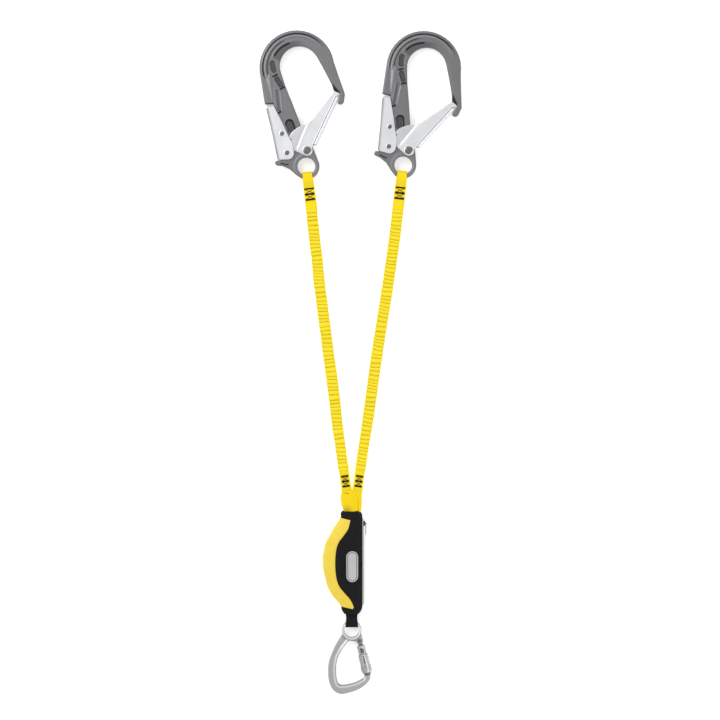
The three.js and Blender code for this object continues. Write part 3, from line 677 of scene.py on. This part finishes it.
def bothHooks(piece, name, body, slotName, material, node):
    # the finished piece goes to the left hook, and its copy to the right one
    for side, one in zip(sides, (piece, twinOf(piece))):
        one.data.transform(hookMatrix(side))
        one.name = f"{side}{name}"
        place(one, f"{side}_{body}", slotName, material, f"{side}_{node}")


def pocketAt(x, y, start, end, half):
    # 1 inside a round-ended pocket, 0 outside its wall
    wall = 0.9
    return 1 - step(fromSegment(x, y, start, end)[0], half - wall, half + wall * 0.3)


def hookRelief(x, y):
    # height of the forging's face over its flat plane, in millimetres
    reach = math.hypot(x, y - hookShape["bowY"])
    angle = math.degrees(math.atan2(y - hookShape["bowY"], x)) % 360
    bow = step(angle, 28, 60) * (1 - step(angle, 186, 196))
    back = step(angle, 104, 118) * (1 - step(angle, 186, 196))
    height = -1.5 * bell(reach - hookShape["rimGroove"], 2.2) * bow
    height += 0.9 * bell(reach - hookShape["ridge"], 2.6) * bow
    height -= 1.2 * bell(reach - hookShape["innerGroove"], 1.7) * back
    pocketArc = step(angle, 99, 104) * (1 - step(angle, 144, 149))
    height -= 1.8 * bell(reach - hookShape["pocketArc"], 1.9) * pocketArc
    height -= 0.5 * (1 - step(reach, 42, 45)) * step(angle, 60, 100) * (1 - step(angle, 148, 156))
    height += 0.25 * math.sin(reach * 4.2) * (1 - step(reach, 37.5, 40)) * pocketArc
    # the facet that runs down from the ridge to a point
    across, t = fromSegment(x, y, (-47, 150), (-43.6, 111))
    height += 0.8 * bell(across, 5.2 * (1 - t) + 0.8)
    thin, t = fromSegment(x, y, (-30, 124), (-30, 91))
    height += 0.6 * bell(thin, 1.9 - 0.9 * t)
    across = fromSegment(x, y, (-37.6, 126), (-36.6, 95))[0]
    height -= 0.5 * bell(across, 4.5)
    for rise, start, end, radius in hookPockets:
        height += rise * pocketAt(x, y, start, end, radius)
    # the nose's tongue lies lower than the arm
    tongue = (x - 50.6) * 0.81 + (y - 134) * 0.585
    if x > 43 and y > 113:
        height -= 1.7 * (1 - step(tongue, -0.8, 0.5)) * (1 - step(y, 133, 140))
    # a soft crown along the front arm and round the eye
    height += 0.35 * bell(math.hypot(x, y) - 17.8, 3.6)
    return height


def pressRelief(piece, half, relief, deepest=1.4):
    # moves the two faces by relief(x, y), and keeps it as painted light and shade for the material:
    # recesses darker as painted shade, ridges lighter as a painted highlight, side walls a fixed dark
    # painted shade
    tones = []
    for vertex in piece.data.vertices:
        x, y, z = vertex.co / millimetre
        hold = step(abs(z), half - 1.2, half - 0.4)
        height = relief(x, y) if hold else 0
        vertex.co.z += math.copysign(height * hold * millimetre, z)
        # painted tone from the height: darker in a recess, lighter on a ridge
        shade = 0.5 + 0.5 * max(-1, min(1, height / deepest))
        tones.append(shade if hold > 0.5 else 0.22)
    keepPaintedLight(piece, tones)
    piece.data.update()


def hookBody():
    body = hookCopy("hook_body")
    forged(body, 0.00075, 4)
    pressRelief(body, hookShape["half"], hookRelief)
    applied(body, "SMOOTH", factor=0.5, iterations=1)
    smooth(body, 180)
    bothHooks(body, "HookForging", "hook", "forged_alloy", finishes["forging"], "hook_body")


hookBody()
print("hook bodies made")


gateShape = {
    "half": 8.9, "lever": 10.7,
    "crease": ((11.2, 71), (-10.7, 28.7)), "edge": ((61.2, 103.6), (19.6, 33.4)),
}


def gateRelief(x, y):
    # the pressed crease, the dished lobe beside it, and the folded outer edge
    (ax, ay), (bx, by) = gateShape["crease"]
    run = math.hypot(bx - ax, by - ay)
    side = ((x - ax) * (by - ay) - (y - ay) * (bx - ax)) / run
    along = ((x - ax) * (bx - ax) + (y - ay) * (by - ay)) / run ** 2
    height = 0.35 * bell(side, 3.2) * (1 - step(along, 0.9, 1.1)) * step(along, -0.2, 0.1)
    height -= 0.22 * step(side, 0.5, 7) * step(along, -0.1, 0.15)
    edge = fromSegment(x, y, *gateShape["edge"])[0]
    height -= 1.1 * bell(edge - 4.3, 0.9)
    height -= 0.5 * bell(edge - 1.7, 0.6)
    pivot = math.hypot(x - hookShape["gatePivot"][0], y - hookShape["gatePivot"][1])
    height -= 0.6 * (1 - step(pivot, 6.2, 7.4))
    return height


def leverRelief(x, y):
    # dimpled pins and a rolled back edge
    height = 0.0
    for spot in (hookShape["leverPivot"], hookShape["stopPin"]):
        reach = math.hypot(x - spot[0], y - spot[1])
        height -= 0.45 * (1 - step(reach, 3.7, 4.6))
    edge = fromSegment(x, y, (-55.2, 97), (-45.4, 18))[0]
    height -= 0.7 * (1 - step(edge, 0.4, 4.2))
    height -= 0.4 * (1 - step(fromSegment(x, y, (-54.5, 102.8), (-44.5, 103))[0], 0.3, 2.4))
    return height


def pressedSheet(node, name, body, half, relief):
    sheet = hookCopy(node)
    forged(sheet, 0.0006, 3)
    pressRelief(sheet, half, relief, 1.0)
    applied(sheet, "SMOOTH", factor=0.5, iterations=1)
    smooth(sheet, 180)
    bothHooks(sheet, name, body, "sheet_steel", finishes["sheet"], node)


def hookRivets():
    # domed rivet heads with a peened dimple, on both faces
    names = {
        "gate_rivet": ("GateRivet", "hook"),
        "lever_rivet": ("LeverRivet", "hook"),
        "lever_stop_pin": ("StopPin", "lock_lever"),
    }
    for node, (name, body) in names.items():
        rivet = hookCopy(node)
        softened(rivet, 0.00035, 3, 20)
        smooth(rivet, 35)
        bothHooks(rivet, name, body, "rivet_steel", finishes["rivet"], node)
    for node, body in (("gate_spring", "hook"), ("lever_spring", "hook")):
        spring = hookCopy(node)
        applied(spring, "SUBSURF", levels=1, render_levels=1)
        smooth(spring, 60)
        bothHooks(spring, node.title().replace("_", ""), body, "spring_steel", finishes["wire"], node)


pressedSheet("gate", "Gate", "gate", gateShape["half"], gateRelief)
pressedSheet("lock_lever", "LockLever", "lock_lever", gateShape["lever"], leverRelief)
hookRivets()
print("gates, levers and rivets made")


# sewn ends of the arms

web = {"width": 0.0182, "thick": 0.0023, "spacing": 0.0007}


def threadRuns(name, runs, radius):
    # each run is a list of places that one thread goes through
    line = bpy.data.curves.new(name, "CURVE")
    line.dimensions = "3D"
    line.bevel_depth = radius
    line.bevel_resolution = 1
    line.use_fill_caps = True
    for run in runs:
        spline = line.splines.new("POLY")
        spline.points.add(len(run) - 1)
        for point, spot in zip(spline.points, run):
            point.co = (*spot, 1)
    piece = bpy.data.objects.new(name, line)
    bpy.context.collection.objects.link(piece)
    only(piece)
    bpy.ops.object.convert(target="MESH")
    piece = bpy.context.object
    smooth(piece, 60)
    return piece


def barTack(y, width, tall, step, surface):
    # close zigzag stitches across the webbing
    run = []
    count = round(width / step)
    for index in range(count + 1):
        x = -width / 2 + width * index / count
        way = 1 if index % 2 else -1
        run.append((x - step * 0.3, y + way * tall / 2, surface - 0.00025))
        run.append((x, y + way * tall * 0.42, surface + 0.0003))
        run.append((x + step * 0.2, y - way * tall * 0.3, surface + 0.0003))
    return run


def crossStitches(fromY, toY, width, surface):
    # running stitches along two crossed diagonals
    runs = []
    for way in (-1, 1):
        for offset in (-0.0003, 0.0003):
            run = []
            for index in range(13):
                t = index / 12
                high = surface + (0.00032 if index % 2 else -0.00005)
                run.append((way * width * (t - 0.5) + offset, fromY + (toY - fromY) * t, high))
            runs.append(run)
    return runs


def tackBlock(name, middle, pitch, width, tall, surface):
    runs = []
    for row in (-1, 0, 1):
        for layer in (0, 1):
            y = middle + row * pitch + layer * 0.0002
            runs.append(barTack(y, width, tall, 0.00052, surface + layer * 0.0001))
    for row in (-1, 0):
        low = middle + row * pitch + tall / 2
        high = middle + (row + 1) * pitch - tall / 2
        runs += crossStitches(low, high, width * 0.8, surface)
    return threadRuns(name, runs, 0.0003)


def hookLoop(side):
    # webbing up over the eye's bar, round inside the eye and back under itself
    eye = hookMatrix(side).translation
    start = inMetres([routes[side][0]])[0]
    down = Vector((start.x - eye.x, start.y - eye.y, 0))
    length = down.length / millimetre
    half = [
        (-length - 2.5, 1.25), (-60, 1.25), (-50, 1.25), (-41, 1.3), (-34.5, 2.1), (-29.5, 4.6),
        (-24.5, 7.4), (-20, 8.9), (-15.5, 9.1), (-12.2, 7.4), (-10.6, 4),
    ]
    side3d = [Vector((0, y, z)) * millimetre for y, z in half]
    whole = side3d + [Vector((0, -0.0102, 0))] + [Vector((0, p.y, -p.z)) for p in reversed(side3d)]
    route = smoothRoute(whole, web["spacing"])
    frames = framesAlong(route, Vector((1, 0, 0)))

    def sectionAt(u, v):
        # drawn in a little where it turns round the bar
        pinch = bell(v - 0.5, 0.3)
        wave = 0.0002 * math.sin(v * 70)
        return flatSection(u, web["width"] / 2 - 0.0013 * pinch + wave, web["thick"] / 2, 0.3)

    loop = strap(f"{side}HookWebbing", route, web["width"], 28, sectionAt, frames=frames)
    lean = Matrix.Rotation(math.atan2(down.x, -down.y), 4, "Z")
    loop.data.transform(Matrix.Translation(eye) @ lean)
    smooth(loop, 50)
    place(loop, f"{side}_arm", "yellow_webbing", finishes["loop"], f"{side}_hook_loop")
    tacks = tackBlock(f"{side}HookTacks", -0.0455, 0.0089, 0.0152, 0.003, 0.0025)
    tacks.data.transform(Matrix.Translation(eye) @ lean)
    place(tacks, f"{side}_arm", "black_thread", finishes["thread"], f"{side}_hook_tacks")


for side in sides:
    hookLoop(side)
print("hook loops made")


# fork and absorber loop

def prism(name, outline, low, high):
    # a flat outline, in millimetres, drawn up into a solid
    bpy.ops.mesh.primitive_circle_add(vertices=len(outline), fill_type="NGON", radius=1)
    piece = bpy.context.object
    piece.name = name
    for vertex, (x, y) in zip(piece.data.vertices, outline):
        vertex.co = inMetres([(x, y, low)])[0]
    edit(piece, "FACE")
    bpy.ops.mesh.extrude_region_move(TRANSFORM_OT_translate={"value": (0, 0, (high - low) * millimetre)})
    bpy.ops.mesh.select_all(action="SELECT")
    bpy.ops.mesh.normals_make_consistent(inside=False)
    leaveEdit()
    return piece


def surfaceHeight(piece, x, y, fallback):
    # the piece's top face over a point
    hit, spot = piece.ray_cast(Vector((x, y, 1)), Vector((0, 0, -1)))[:2]
    return spot.z if hit else fallback


forkShape = {
    "width": 0.0166, "thick": 0.0048, "round": 0.0083, "height": 0.015, "pitch": 0.0081, "tuck": 0.0025,
}
forkPlaces = {"left": (-22.4, -207.5), "right": (-5.2, -207.5)}


def forkEnd(side):
    # the flat sewn end of an arm, rounded where it turns at the fork
    start = inMetres([routes[side][-1]])[0]
    tip = inMetres([(*forkPlaces[side], 15)])[0]
    along = (tip - start).normalized()
    start.z = tip.z = forkShape["height"]
    reach = (tip - start).length + forkShape["round"]
    start -= along * forkShape["tuck"]
    route = smoothRoute([start, start.lerp(tip, 0.5), tip + along * forkShape["round"] * 0.97], 0.0006)

    def sectionAt(u, v):
        left = reach * (1 - v)
        inside = min(left / forkShape["round"], 1)
        bow = math.sqrt(max(1 - (1 - inside) ** 2, 0.0004))
        halfWidth = forkShape["width"] / 2 * bow * (0.93 + 0.07 * step(v, 0.5, 0.8))
        seam = 0.00025 * math.sin(v * 46) * (1 - v)
        return flatSection(u, halfWidth, forkShape["thick"] / 2 * (0.62 + 0.38 * bow) + seam, 0.36)

    end = strap(f"{side}ForkWebbing", route, forkShape["width"], 32, sectionAt)
    smooth(end, 50)
    place(end, f"{side}_arm", "yellow_webbing", finishes["loop"], f"{side}_fork_end")
    tacks = tackBlock(f"{side}ForkTacks", 0, forkShape["pitch"], 0.0112, 0.0029, 0)
    turn = Matrix.Rotation(math.atan2(along.y, along.x) + math.pi / 2, 4, "Z")
    middle = start.lerp(tip, 0.55) + Vector((0.0003, 0, forkShape["thick"] / 2 + 0.0001))
    tacks.data.transform(Matrix.Translation(middle) @ turn)
    place(tacks, f"{side}_arm", "black_thread", finishes["thread"], f"{side}_fork_tacks")


loopOutline = [
    (-29, -207.6), (-31.8, -212), (-32.4, -221), (-30.6, -231), (-26.8, -240), (-24.5, -247), (-3, -247),
    (1.4, -238), (2.1, -226), (1.9, -214), (1.2, -206.6), (-5, -206.2), (-12.4, -205.4), (-20, -207),
]


def absorberLoop():
    # a bulging fold of webbing that takes in both sewn ends, and the narrow return beside it
    loop = prism("absorberLoop", loopOutline, 7.6, 22.4)
    forged(loop, 0.0008, 8)
    for vertex in loop.data.vertices:
        x, y = (vertex.co.xy - partShift.xy) / millimetre
        wide = max(1 - ((x + 18.2) / 15.2) ** 2, 0)
        narrow = max(1 - ((x + 0.8) / 3.6) ** 2, 0) * 0.5
        swell = 0.36 + 0.62 * math.sqrt(max(wide, narrow)) + 0.015 * math.sin(y * 1.1 + x * 0.35)
        swell *= 0.8 + 0.2 * bell(y + 226, 26)
        vertex.co.z = forkShape["height"] + (vertex.co.z - forkShape["height"]) * swell
    applied(loop, "SMOOTH", factor=0.5, iterations=2)
    # painted shade: darker towards the bottom, along the fold at x = -3.9 and along the top edge where the
    # sewn ends go in
    tones = []
    for vertex in loop.data.vertices:
        x, y = (vertex.co.xy - partShift.xy) / millimetre
        low = 0.75 * step(-y, 220, 241) * bell(x + 22, 17)
        low += 0.75 * bell(x + 3.9, 1.3) * step(-y, 212, 222)
        low += 0.35 * bell(y + 206.4, 2.2)
        tones.append(1 - min(low, 0.9))
    keepPaintedLight(loop, tones)
    smooth(loop, 180)
    place(loop, "absorber", "yellow_webbing", finishes["fold"], "absorber_loop")
    runs = []
    for index in range(4):
        x, y = -28 + index * 2.4, -210.2 - 0.3 * index
        spot = inMetres([(x, y, 0)])[0]
        spot.z = surfaceHeight(loop, spot.x, spot.y, 0.02)
        runs.append([spot, spot + Vector((0.0006, -0.0002, 0.0004)), spot + Vector((0.0015, 0, 0))])
    stitches = threadRuns("loopStitches", runs, 0.0004)
    place(stitches, "absorber", "black_thread", finishes["thread"])


for side in sides:
    forkEnd(side)
absorberLoop()
print("fork made")


# pouch

pouchShape = {
    "right": 3.1, "top": -239, "bottom": -404, "neckX": -14.3, "neckHalf": 11.1, "low": 1.5, "high": 28.5,
    "curve": [
        (-33.5, -250.6), (-48.9, -276.5), (-57.7, -292.7), (-62, -315.4), (-61.2, -333.2),
        (-54.8, -360.8), (-47.5, -375.4), (-33, -392.6),
    ],
    "seam": [
        (-13, -397.6), (-11.3, -394), (-17.2, -381.8), (-26.5, -371), (-34.5, -360.8), (-39.2, -347),
        (-41, -327), (-40, -306), (-36, -291.1), (-27, -278.5), (-20.1, -267.9), (-16.5, -254.2),
    ],
}


def pouchOutline():
    # clockwise from the top right, in millimetres
    right, top, bottom = pouchShape["right"], pouchShape["top"], pouchShape["bottom"]
    neck, half = pouchShape["neckX"], pouchShape["neckHalf"]
    curve = [(x + 1.5, y) for x, y in pouchShape["curve"]]
    return [
        (right - 4, top - 1), (-28.5, top), (-32.5, top - 3), *curve, (-31.6, bottom + 4),
        (neck - half, bottom - 3), (neck + half, bottom - 3), (right, bottom + 6), (right, top - 6),
    ]


def inflate(piece, pressure, limit):
    # cloth pressed outwards from inside, held to a few millimetres of its cut shape
    before = [vertex.co.copy() for vertex in piece.data.vertices]
    only(piece)
    cloth = piece.modifiers.new("cloth", "CLOTH")
    cloth.settings.use_pressure = True
    cloth.settings.uniform_pressure_force = pressure
    cloth.settings.effector_weights.gravity = 0
    cloth.settings.quality = 4
    cloth.point_cache.frame_start = 1
    cloth.point_cache.frame_end = 20
    for number in range(1, 21):
        bpy.context.scene.frame_set(number)
    bpy.ops.object.modifier_apply(modifier=cloth.name)
    bpy.context.scene.frame_set(1)
    for vertex, old in zip(piece.data.vertices, before):
        # the sewn edge keeps its cut line, so the cloth moves mostly up and down
        move = (vertex.co - old) * Vector((0.2, 0.2, 1))
        vertex.co = old + move * min(1, limit / max(move.length, 0.00001))


def fitTo(piece, outline):
    # stretches a sewn piece back to the width and length of its outline
    for axis in (0, 1):
        low = min(point[axis] for point in outline) * millimetre + partShift[axis]
        high = max(point[axis] for point in outline) * millimetre + partShift[axis]
        values = [vertex.co[axis] for vertex in piece.data.vertices]
        start, end = min(values), max(values)
        for vertex in piece.data.vertices:
            vertex.co[axis] = low + (vertex.co[axis] - start) * (high - low) / (end - start)


def pouchBody():
    pouch = prism("pouchCloth", pouchOutline(), pouchShape["low"] + 3, pouchShape["high"] - 3)
    applied(pouch, "BEVEL", width=0.005, segments=3, limit_method="ANGLE", angle_limit=math.radians(60))
    applied(pouch, "REMESH", mode="VOXEL", voxel_size=0.0036)
    inflate(pouch, 4.0, 0.006)
    applied(pouch, "SMOOTH", factor=0.5, iterations=3, use_x=False, use_y=False)
    applied(pouch, "SUBSURF", levels=2, render_levels=2)
    middle = (pouchShape["low"] + pouchShape["high"]) / 2 * millimetre
    high = max(vertex.co.z for vertex in pouch.data.vertices) - middle
    right = (pouchShape["right"] - 0.1) * millimetre + partShift.x
    fitTo(pouch, pouchOutline())
    for vertex in pouch.data.vertices:
        # the filled pack inside keeps the pouch's height and its straight zipped side
        vertex.co.z = middle + (vertex.co.z - middle) * 0.0133 / high
        vertex.co.x = min(vertex.co.x, right)
        x, y = (vertex.co.xy - partShift.xy) / millimetre
        pucker = 0.00025 * math.sin(y * 0.55 + 0.4 * math.sin(y * 0.13)) * bell(x - 1.5, 9)
        sag = 0.0004 * math.sin(y * 0.09 + x * 0.16) + 0.0003 * math.sin(y * 0.23 - x * 0.3)
        vertex.co.z += math.copysign(pucker + sag, vertex.co.z - middle)
    smooth(pouch, 180)
    place(pouch, "absorber", "black_fabric", finishes["pouch"], "pouch_shell", "tear_pack")
    return pouch


def pouchPanel(pouch):
    # the yellow side panel: the pouch's own skin, a little thicker, cut along the curved seam
    panel = twinOf(pouch)
    panel.name = "pouchPanel"
    for key in list(panel.keys()):
        del panel[key]
    panel.parent = None
    panel.matrix_world = Matrix.Identity(4)
    normals = [vertex.normal.copy() for vertex in panel.data.vertices]
    for vertex, normal in zip(panel.data.vertices, normals):
        vertex.co += normal * 0.0009
    seam = [point.xy for point in smoothRoute([Vector((x, y, 0)) for x, y in pouchShape["seam"]], 3)]
    outer = [(x - 9, y) for x, y in pouchShape["curve"]]
    cutter = prism("panelCutter", [*seam, (-33.6, -250.2), *outer, (-33, -393)], -6, 40)
    only(panel)
    modifier = panel.modifiers.new("cut", "BOOLEAN")
    modifier.operation = "INTERSECT"
    modifier.object = cutter
    modifier.solver = "EXACT"
    bpy.ops.object.modifier_apply(modifier=modifier.name)
    bpy.data.objects.remove(cutter)
    softened(panel, 0.0004, 2, 50)
    smooth(panel, 45)
    place(panel, "absorber", "panel_fabric", finishes["panel"], "pouch_panel")
    return panel


def stitchLine(name, surface, route, pitch, lift):
    # one row of lockstitches lying on a surface
    runs = []
    for first, second in zip(route[::2], route[1::2]):
        if (second - first).length < pitch * 0.2:
            continue
        run = []
        for t, high in ((0.1, -0.0002), (0.3, 0.00016), (0.7, 0.00016), (0.9, -0.0002)):
            spot = first.lerp(second, t)
            run.append(Vector((spot.x, spot.y, surfaceHeight(surface, spot.x, spot.y, lift) + high)))
        runs.append(run)
    return threadRuns(name, runs, 0.00022)


def seamRow(name, surface, points, pitch, lift, slotName, finish):
    # one row of stitches through places given in millimetres
    curve = smoothRoute([Vector((x, y, 0)) for x, y in points], pitch)
    route = [point * millimetre + partShift for point in curve]
    row = stitchLine(name, surface, route, pitch * millimetre, lift)
    place(row, "absorber", slotName, finish)


def pouchSeams(pouch, panel):
    thread = ("black_thread", finishes["seam"])
    beside = [(x + 2.4, y) for x, y in pouchShape["seam"][1:]]
    seamRow("pouchSeamStitches", pouch, beside, 2.2, 0.028, *thread)
    for name, line in (
        ("pouchTopStitches", [(-29.5, -245.6), (-14, -246.4), (-0.5, -246.8)]),
        ("pouchEdgeStitches", [(-0.6, -247), (-0.4, -320), (-0.6, -396)]),
        ("pouchNeckStitches", [(-27.5, -399.8), (-14.3, -400.6), (-2.6, -399.4)]),
    ):
        seamRow(name, pouch, line, 2.2, 0.026, *thread)
    inner = [(x - 2.2, y) for x, y in pouchShape["seam"][2:-1]]
    seamRow("panelStitches", panel, inner, 2.4, 0.028, "panel_fabric", finishes["panelSeam"])


def blankPatch(pouch):
    # a plain pale patch with a raised rim, where a mark would be
    patch = copyOf("pouch_label", "blankPatch")
    applied(patch, "REMESH", mode="VOXEL", voxel_size=0.0005)
    middle = middleOf("pouch_label")
    gapShade = []
    for vertex in patch.data.vertices:
        x, y, z = vertex.co
        reach = max(abs(y - middle.y) - 0.0155, 0)
        rim = math.hypot(x - middle.x, reach) / 0.0095
        lift = 0.0009 if z > middle.z else -0.0004
        lift += 0.0004 * bell(rim - 0.9, 0.1) if z > middle.z else 0
        vertex.co.z = surfaceHeight(pouch, x, y, middle.z) + lift
        # a dark ring of painted shade just inside the raised rim
        gapShade.append(1 - 0.95 * bell(rim - 0.76, 0.1))
    keepPaintedLight(patch, gapShade)
    smooth(patch, 60)
    place(patch, "absorber", "blank_label", finishes["patch"], "pouch_label")


pouch = pouchBody()
panel = pouchPanel(pouch)
pouchSeams(pouch, panel)
blankPatch(pouch)
print("pouch made")


# harness loop

def harnessStrap():
    # black webbing out of the pouch, round the bar of the carabiner's eye and back
    eye = inMetres([(-14.3, -432.9, 0)])[0]
    eye.z = middleOf("carabiner_body").z
    front = [
        (42, 6.4), (36, 6.4), (31, 6.3), (26, 6.6), (21, 7.2), (15, 7.3), (9.6, 6.6), (6.2, 4.2),
        (5.2, 1.4),
    ]
    back = [
        (5.2, -1.4), (6.2, -4.2), (9.6, -6.6), (14.6, -7.2), (19, -6.2), (24, -2.6), (29, 1.6), (34, 3.2),
        (42, 3.6),
    ]
    points = [Vector((0, y, z)) * millimetre for y, z in front + back]
    route = smoothRoute(points, web["spacing"])
    frames = framesAlong(route, Vector((-1, 0, 0)))

    def sectionAt(u, v):
        # wider where it is spread over the bar, waisted just above it
        waist = bell(v - 0.27, 0.08) + bell(v - 0.7, 0.08)
        flare = 0.0013 * bell(v - 0.47, 0.16) - 0.0006 * waist
        return flatSection(u, 0.0095 + flare, web["thick"] / 2, 0.3)

    loop = strap("harnessWebbing", route, 0.019, 28, sectionAt, frames=frames)
    loop.data.transform(Matrix.Translation(eye))
    smooth(loop, 50)
    place(loop, "absorber", "black_webbing", finishes["blackWeb"], "harness_loop")
    rows = []
    for y in (0.0288, 0.0276):
        run = []
        for index in range(19):
            high = 0.00765 if index % 2 else 0.0074
            run.append(eye + Vector((-0.0076 + 0.0152 * index / 18, y, high)))
        rows.append(run)
    tacks = threadRuns("harnessStitches", rows, 0.00024)
    place(tacks, "absorber", "black_thread", finishes["seam"])


harnessStrap()
print("harness loop made")


# carabiner, in the eye's own frame while it is shaped

carabiner = {
    "eye": (-14.3, -432.9), "half": 5.5, "tilt": 13.4, "gateFoot": (13.3, -19.4), "sleeveLift": 6,
    "basket": [
        (18, -79), (6.2, -84.9), (-6.2, -88.1), (-17, -89.2), (-22.2, -86.4), (-24.8, -76.5),
        (-25.6, -62.5), (-23.3, -47), (-17, -33), (-5.5, -17.8),
    ],
}
carabinerAt = inMetres([(*carabiner["eye"], 0)])[0]
carabinerAt.z = middleOf("carabiner_body").z
carabinerPlace = Matrix.Translation(carabinerAt)
basketRun = [point.xy for point in smoothRoute([Vector((x, y, 0)) for x, y in carabiner["basket"]], 3)]


def carabinerBevelAndPaintedLight(x, y):
    # (height, tone): a drawn bevel along the inside edge and round the eye; the tone paints the bevels
    # lighter as a painted reflection, and their edges and the groove round the eye darker as painted shade
    edge = min(fromSegment(x, y, a, b)[0] for a, b in zip(basketRun, basketRun[1:]))
    reach = math.hypot(x, y)
    height = -1.9 * (1 - step(edge, 0.4, 4.4))
    tone = 0.52 + 0.48 * step(edge, 0.9, 2.0) * (1 - step(edge, 3.6, 5))
    tone -= 0.34 * (1 - step(edge, 0.8, 1.7))
    if reach < 17:
        height = -0.9 * (1 - step(reach, 11.8, 14.4)) - 0.3 * step(reach, 14.8, 16)
        tone = 0.95 - 0.6 * step(reach, 14.6, 15.8) - 0.5 * (1 - step(reach, 12.2, 12.9))
    elif reach < 18.4:
        height -= 0.6 * bell(reach - 17.2, 1.2)
        tone -= 0.3 * bell(reach - 17.2, 1.2)
    return height, tone


def carabinerBody():
    body = copyOf("carabiner_body", "carabinerBody")
    body.data.transform(carabinerPlace.inverted())
    forged(body, 0.00055, 7)
    tones = []
    for vertex in body.data.vertices:
        x, y, z = vertex.co / millimetre
        hold = step(abs(z), 2.2, 4.2)
        height, tone = carabinerBevelAndPaintedLight(x, y)
        vertex.co.z += math.copysign(height * hold * millimetre, z)
        # the side walls get a darker tone, as painted shade
        tones.append(tone if hold > 0.4 else 0.4)
    keepPaintedLight(body, tones)
    applied(body, "SMOOTH", factor=0.5, iterations=2)
    smooth(body, 180)
    body.data.transform(carabinerPlace)
    place(body, "carabiner", "carabiner_steel", finishes["steel"], "carabiner_body")


def machined(node, body, slotName, material, width=0.0003, segments=2):
    # a turned or stamped part with its edges broken
    piece = copyOf(node, node + "Finished")
    softened(piece, width, segments, 25)
    smooth(piece, 35)
    place(piece, body, slotName, material, node)
    return piece


def gateMatrix():
    # the carabiner gate's own frame: its pivot, with the sleeve's axis along -Y
    tilt = math.radians(carabiner["tilt"])
    pivot = Vector((*carabiner["gateFoot"], 0)) - 2 * Vector((math.sin(tilt), -math.cos(tilt), 0))
    return carabinerPlace @ Matrix.Translation(pivot * millimetre) @ Matrix.Rotation(tilt, 4, "Z")


def sleeveSpring():
    # the sleeve's coil spring, with its edges broken and a mesh of its own
    spring = machined("sleeve_spring", "carabiner_gate", "spring_steel", finishes["wire"], 0.0001, 1)
    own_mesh(spring)


def sleeveMarks():
    # grip flutes round the sleeve's lower half, as fine dark lines of painted shade
    gatePlace = gateMatrix()
    runs = []
    for index in range(14):
        angle = 2 * math.pi * (index + 0.5) / 14
        run = []
        for t in range(7):
            reach = (40 + 11 * t / 6) * millimetre
            radius = 8.32 * millimetre - 0.0003 * (1 if t in (0, 6) else 0)
            run.append(Vector((radius * math.sin(angle), -reach, radius * math.cos(angle))))
        runs.append(run)
    flutes = threadRuns("sleeveFlutes", runs, 0.00022)
    flutes.data.transform(gatePlace)
    place(flutes, "locking_sleeve", "carabiner_steel", finishes["darkSteelAndShade"])


carabinerBody()
machined("locking_sleeve", "locking_sleeve", "carabiner_steel", finishes["sleeve"], 0.0005, 3)
machined("sleeve_collar", "carabiner_gate", "carabiner_steel", finishes["sleeve"])
# the gate in darker steel, so that the collar's window reads dark, as painted shade
machined("carabiner_gate", "carabiner_gate", "carabiner_steel", finishes["darkSteelAndShade"])
machined("carabiner_gate_rivet", "carabiner", "rivet_steel", finishes["rivet"])
machined("sleeve_thrust_ring", "sleeve_lift", "carabiner_steel", finishes["darkSteelAndShade"], 0.0001, 1)
machined("carabiner_gate_spring", "carabiner_gate", "spring_steel", finishes["wire"], 0.0001, 1)
sleeveSpring()
sleeveMarks()
print("carabiner made")


# zip

def zipTeeth():
    # interlocked teeth along the tape
    low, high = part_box("zip_coil")
    bpy.ops.mesh.primitive_cube_add(size=1)
    tooth = bpy.context.object
    tooth.name = "zipTeeth"
    middle = (Vector(low) + Vector(high)) / 2
    for vertex in tooth.data.vertices:
        x, y, z = vertex.co
        vertex.co = Vector((x * (high[0] - low[0]) * 0.9, y * 0.0007, z * 0.0021))
    softened(tooth, 0.0002, 2)
    count = int((high[1] - low[1]) / 0.0014)
    teeth = [tooth]
    while len(teeth) < count:
        teeth.append(twinOf(tooth))
    for index, one in enumerate(teeth):
        side = 0.0005 if index % 2 else -0.0005
        y = low[1] + 0.0014 * (index + 0.5)
        one.data.transform(Matrix.Translation((middle.x, y, middle.z + side)))
    row = joined(teeth)
    smooth(row, 40)
    place(row, "absorber", "zip_plastic", finishes["zip"], "zip_coil")


def zipCloth():
    tape = copyOf("zip_tape", "zipTape")
    softened(tape, 0.0002, 2)
    smooth(tape, 40)
    place(tape, "absorber", "black_webbing", finishes["pouch"], "zip_tape")


zipTeeth()
zipCloth()
machined("zip_slider", "zip_slider", "zip_plastic", finishes["zip"], 0.0003, 2)
machined("zip_pull", "zip_pull", "zip_plastic", finishes["zip"], 0.0002, 2)
print("zip made")
